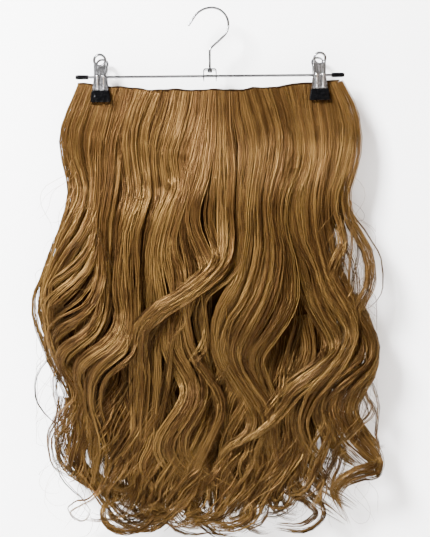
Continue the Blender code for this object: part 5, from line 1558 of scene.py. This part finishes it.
# %% Thread material
thread_material, tree, shader = new_material("weft_thread")
place = add_node(tree, "ShaderNodeTexCoord").outputs["Object"]
twist = add_node(
    tree, "ShaderNodeTexWave", {"Vector": place, "Scale": 900.0, "Distortion": 1.5, "Detail": 2.0},
    bands_direction="DIAGONAL").outputs[1]
fuzz = add_noise(tree, place, 700.0, 3.0)
thread_tone = mix_colours(tree, fuzz, (0.004, 0.0020, 0.0010, 1), (0.020, 0.0098, 0.0042, 1))
tree.links.new(thread_tone, shader.inputs["Base Color"])
tree.links.new(ramp(tree, fuzz, 0.3, 0.7, 0.62, 0.85), shader.inputs["Roughness"])
bumped = add_node(tree, "ShaderNodeBump", {"Height": twist, "Strength": 0.4, "Distance": 0.0001})
tree.links.new(bumped.outputs[0], shader.inputs["Normal"])
shader.inputs["Specular IOR Level"].default_value = 0.03

# %% Stitch tree
stitch_tree, start, end = new_geometry_tree("overcast_stitches", [
    ("Spacing", "NodeSocketFloat", 0.0017), ("Loop Height", "NodeSocketFloat", 0.0013),
    ("Loop Depth", "NodeSocketFloat", 0.0010), ("Thread Radius", "NodeSocketFloat", 0.00022),
    ("Slant", "NodeSocketFloat", 0.45), ("Seed", "NodeSocketInt", 5),
    ("Material", "NodeSocketMaterial", None)])
line = add_node(
    stitch_tree, "GeometryNodeMeshToCurve", {"Mesh": start.outputs["Geometry"]}).outputs[0]
line = add_node(
    stitch_tree, "GeometryNodeResampleCurve", {"Curve": line, "Length": start.outputs["Spacing"]},
    mode="LENGTH").outputs[0]
loop = add_node(
    stitch_tree, "GeometryNodeCurvePrimitiveCircle", {"Resolution": 12, "Radius": 1.0},
    mode="RADIUS").outputs[0]
size = add_node(
    stitch_tree, "ShaderNodeCombineXYZ",
    {"X": start.outputs["Loop Depth"], "Y": start.outputs["Loop Height"], "Z": 1.0}).outputs[0]
loop = add_node(stitch_tree, "GeometryNodeTransform", {"Geometry": loop, "Scale": size}).outputs[0]
loop = add_node(
    stitch_tree, "GeometryNodeTransform",
    {"Geometry": loop, "Rotation": (math.pi / 2, 0.0, math.pi / 2)}).outputs[0]
thread = add_node(
    stitch_tree, "GeometryNodeCurvePrimitiveCircle",
    {"Resolution": 5, "Radius": start.outputs["Thread Radius"]}, mode="RADIUS").outputs[0]
ring = add_node(
    stitch_tree, "GeometryNodeCurveToMesh", {"Curve": loop, "Profile Curve": thread}).outputs[0]
turn = add_node(
    stitch_tree, "FunctionNodeRandomValue", {2: 0.5, 3: 1.5, 8: start.outputs["Seed"]},
    data_type="FLOAT").outputs[1]
turn = add_math(stitch_tree, "MULTIPLY", turn, start.outputs["Slant"])
turn = add_node(stitch_tree, "ShaderNodeCombineXYZ", {"Y": turn}).outputs[0]
stitches = add_node(
    stitch_tree, "GeometryNodeInstanceOnPoints",
    {"Points": line, "Instance": ring, "Rotation": turn}).outputs[0]
finish_tree(stitch_tree, stitches, start, end)
print("stitch tree:", len(stitch_tree.nodes), "nodes")

# %% Weft band, stitches and knots
WEFT_HALF_DEPTH = 0.0007
BAND_PAST_LEFT = 0.0055
BAND_PAST_RIGHT = 0.0056
BAND_POINTS = 80
CORD_RADIUS = 0.00062
CORD_PLACES = (
    (-WEFT_HALF_DEPTH, 0.0008), (0.0, 0.0003), (WEFT_HALF_DEPTH, 0.0008), (0.0, -0.0006))
KNOT_POINTS = 34
KNOT_TURN = 0.9
KNOT_REACH = 0.0006
KNOT_FOOT = 0.0002
KNOT_HEIGHT = 0.0014
KNOT_THREAD = 0.00040

band_xs = np.linspace(WEFT_XS[0] - BAND_PAST_LEFT, WEFT_XS[-1] + BAND_PAST_RIGHT, BAND_POINTS)
band_line = [(x, weft_height(x)) for x in band_xs]
source = wire_mesh("weft_line", [[(x, 0.0, z, 0.0) for x, z in band_line]])
stitches = grow(stitch_tree, source, "weft_stitches", {"Material": thread_material})
finish_piece(stitches, "weft_thread", "weft_band")
cords = []
for across, up in CORD_PLACES:
    path = [Vector((x, across, z + up)) for x, z in band_line]
    cords.append(round_ends(path, CORD_RADIUS, 3))
make_wire("weft_core", cords, 7, thread_material, "weft_thread", "weft_band")
knots = []
for x, z in (band_line[0], band_line[-1]):
    wound = []
    for i in range(KNOT_POINTS):
        aside = KNOT_REACH * math.cos(KNOT_TURN * i) * (1 - i / 60)
        out = KNOT_REACH * math.sin(KNOT_TURN * i)
        up = KNOT_FOOT + KNOT_HEIGHT * i / KNOT_POINTS
        wound.append(Vector((x + aside, out, z + up)))
    knots.append(round_ends(wound, KNOT_THREAD, 2))
make_wire("weft_knots", knots, 6, thread_material, "weft_thread", "weft_band")

# %% [markdown]
# ## Wall and floor
# The wall is see-through from its back and throws no shadow, so that the hair can be looked
# at from behind too, by a lamp that stands there.

# %% Stage
WALL_Y = 0.030
WALL_MIDDLE_Z = 0.6
HALF_WALL = 2.5
FLOOR_Z = -0.680
HALF_FLOOR = 4.0


def flat_square(name, centre, turn, half):
    """A square of the stage."""
    bm = bmesh.new()
    bmesh.ops.create_grid(bm, x_segments=1, y_segments=1, size=half)
    bmesh.ops.rotate(bm, matrix=Matrix.Rotation(turn, 3, "X"), verts=bm.verts)
    bmesh.ops.translate(bm, vec=centre, verts=bm.verts)
    made = object_from(bm, name)
    made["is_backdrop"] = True
    return made


wall = flat_square("wall", (0, WALL_Y, WALL_MIDDLE_Z), math.radians(90), HALF_WALL)
floor = flat_square("floor", (0, 0, FLOOR_Z), 0.0, HALF_FLOOR)
wall_material, tree, shader = new_material("white_wall")
place = add_node(tree, "ShaderNodeTexCoord").outputs["Object"]
grain = add_noise(tree, place, 900.0, 4.0)
tint = mix_colours(tree, grain, (0.80, 0.80, 0.80, 1), (0.84, 0.84, 0.84, 1))
tree.links.new(tint, shader.inputs["Base Color"])
shader.inputs["Roughness"].default_value = 0.9
clear = add_node(tree, "ShaderNodeBsdfTransparent")
backfacing = add_node(tree, "ShaderNodeNewGeometry").outputs["Backfacing"]
choice = add_node(
    tree, "ShaderNodeMixShader", {0: backfacing, 1: shader.outputs[0], 2: clear.outputs[0]})
tree.links.new(choice.outputs[0], tree.nodes["Material Output"].inputs["Surface"])
wall.data.materials.append(wall_material)
wall.visible_shadow = False
floor_material, tree, shader = new_material("pale_floor")
place = add_node(tree, "ShaderNodeTexCoord").outputs["Object"]
grain = add_noise(tree, place, 60.0, 4.0)
tint = mix_colours(tree, grain, (0.74, 0.73, 0.72, 1), (0.80, 0.79, 0.78, 1))
tree.links.new(tint, shader.inputs["Base Color"])
shader.inputs["Roughness"].default_value = 0.7
floor.data.materials.append(floor_material)

# %% [markdown]
# ## Light
# One small strong lamp at the upper left gives the strands their gloss and throws the hair's
# shadow to the right. A weak warm one fills from the right, and one behind lights the back.
# The room round them is brighter above and dim towards the camera, so that the chrome has
# something dark to mirror.

# %% Light
def area_light(name, place, target, size, power, colour=(1, 1, 1)):
    """A square soft light that looks at the target."""
    light = bpy.data.lights.new(name, "AREA")
    light.size = size
    light.energy = power
    light.color = colour
    made = bpy.data.objects.new(name, light)
    made.location = place
    made.rotation_mode = "QUATERNION"
    made.rotation_quaternion = (Vector(target) - Vector(place)).to_track_quat("-Z", "Y")
    bpy.context.scene.collection.objects.link(made)


HAIR_MIDDLE = (0.0, 0.0, -0.33)
ROOM_LIGHT = 0.27
area_light("key", (-1.25, -1.40, 1.00), HAIR_MIDDLE, 0.7, 510, (0.98, 0.985, 1.0))
area_light("fill", (1.2, -1.6, 0.1), HAIR_MIDDLE, 1.6, 11, (1.0, 0.62, 0.34))
area_light("behind", (0.3, 1.6, 0.4), HAIR_MIDDLE, 1.4, 80)
world = bpy.data.worlds.new("soft_room")
world.use_nodes = True
tree = world.node_tree
direction = add_node(tree, "ShaderNodeTexCoord").outputs["Generated"]
parts = add_node(tree, "ShaderNodeSeparateXYZ", {0: direction})
dim_front = ramp(tree, parts.outputs[1], -0.85, -0.25, 0.12, 1.0)
bright_top = ramp(tree, parts.outputs[2], -0.4, 0.8, 0.6, 1.3)
strength = add_math(tree, "MULTIPLY", dim_front, bright_top)
strength = add_math(tree, "MULTIPLY", strength, ROOM_LIGHT)
tree.links.new(strength, tree.nodes["Background"].inputs[1])
tree.nodes["Background"].inputs[0].default_value = (1.0, 0.90, 0.80, 1)
bpy.context.scene.world = world
print("stage and lights are set")

# %% Sizes and finish
low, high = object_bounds()
print("visual from", [round(v, 4) for v in low], "to", [round(v, 4) for v in high])
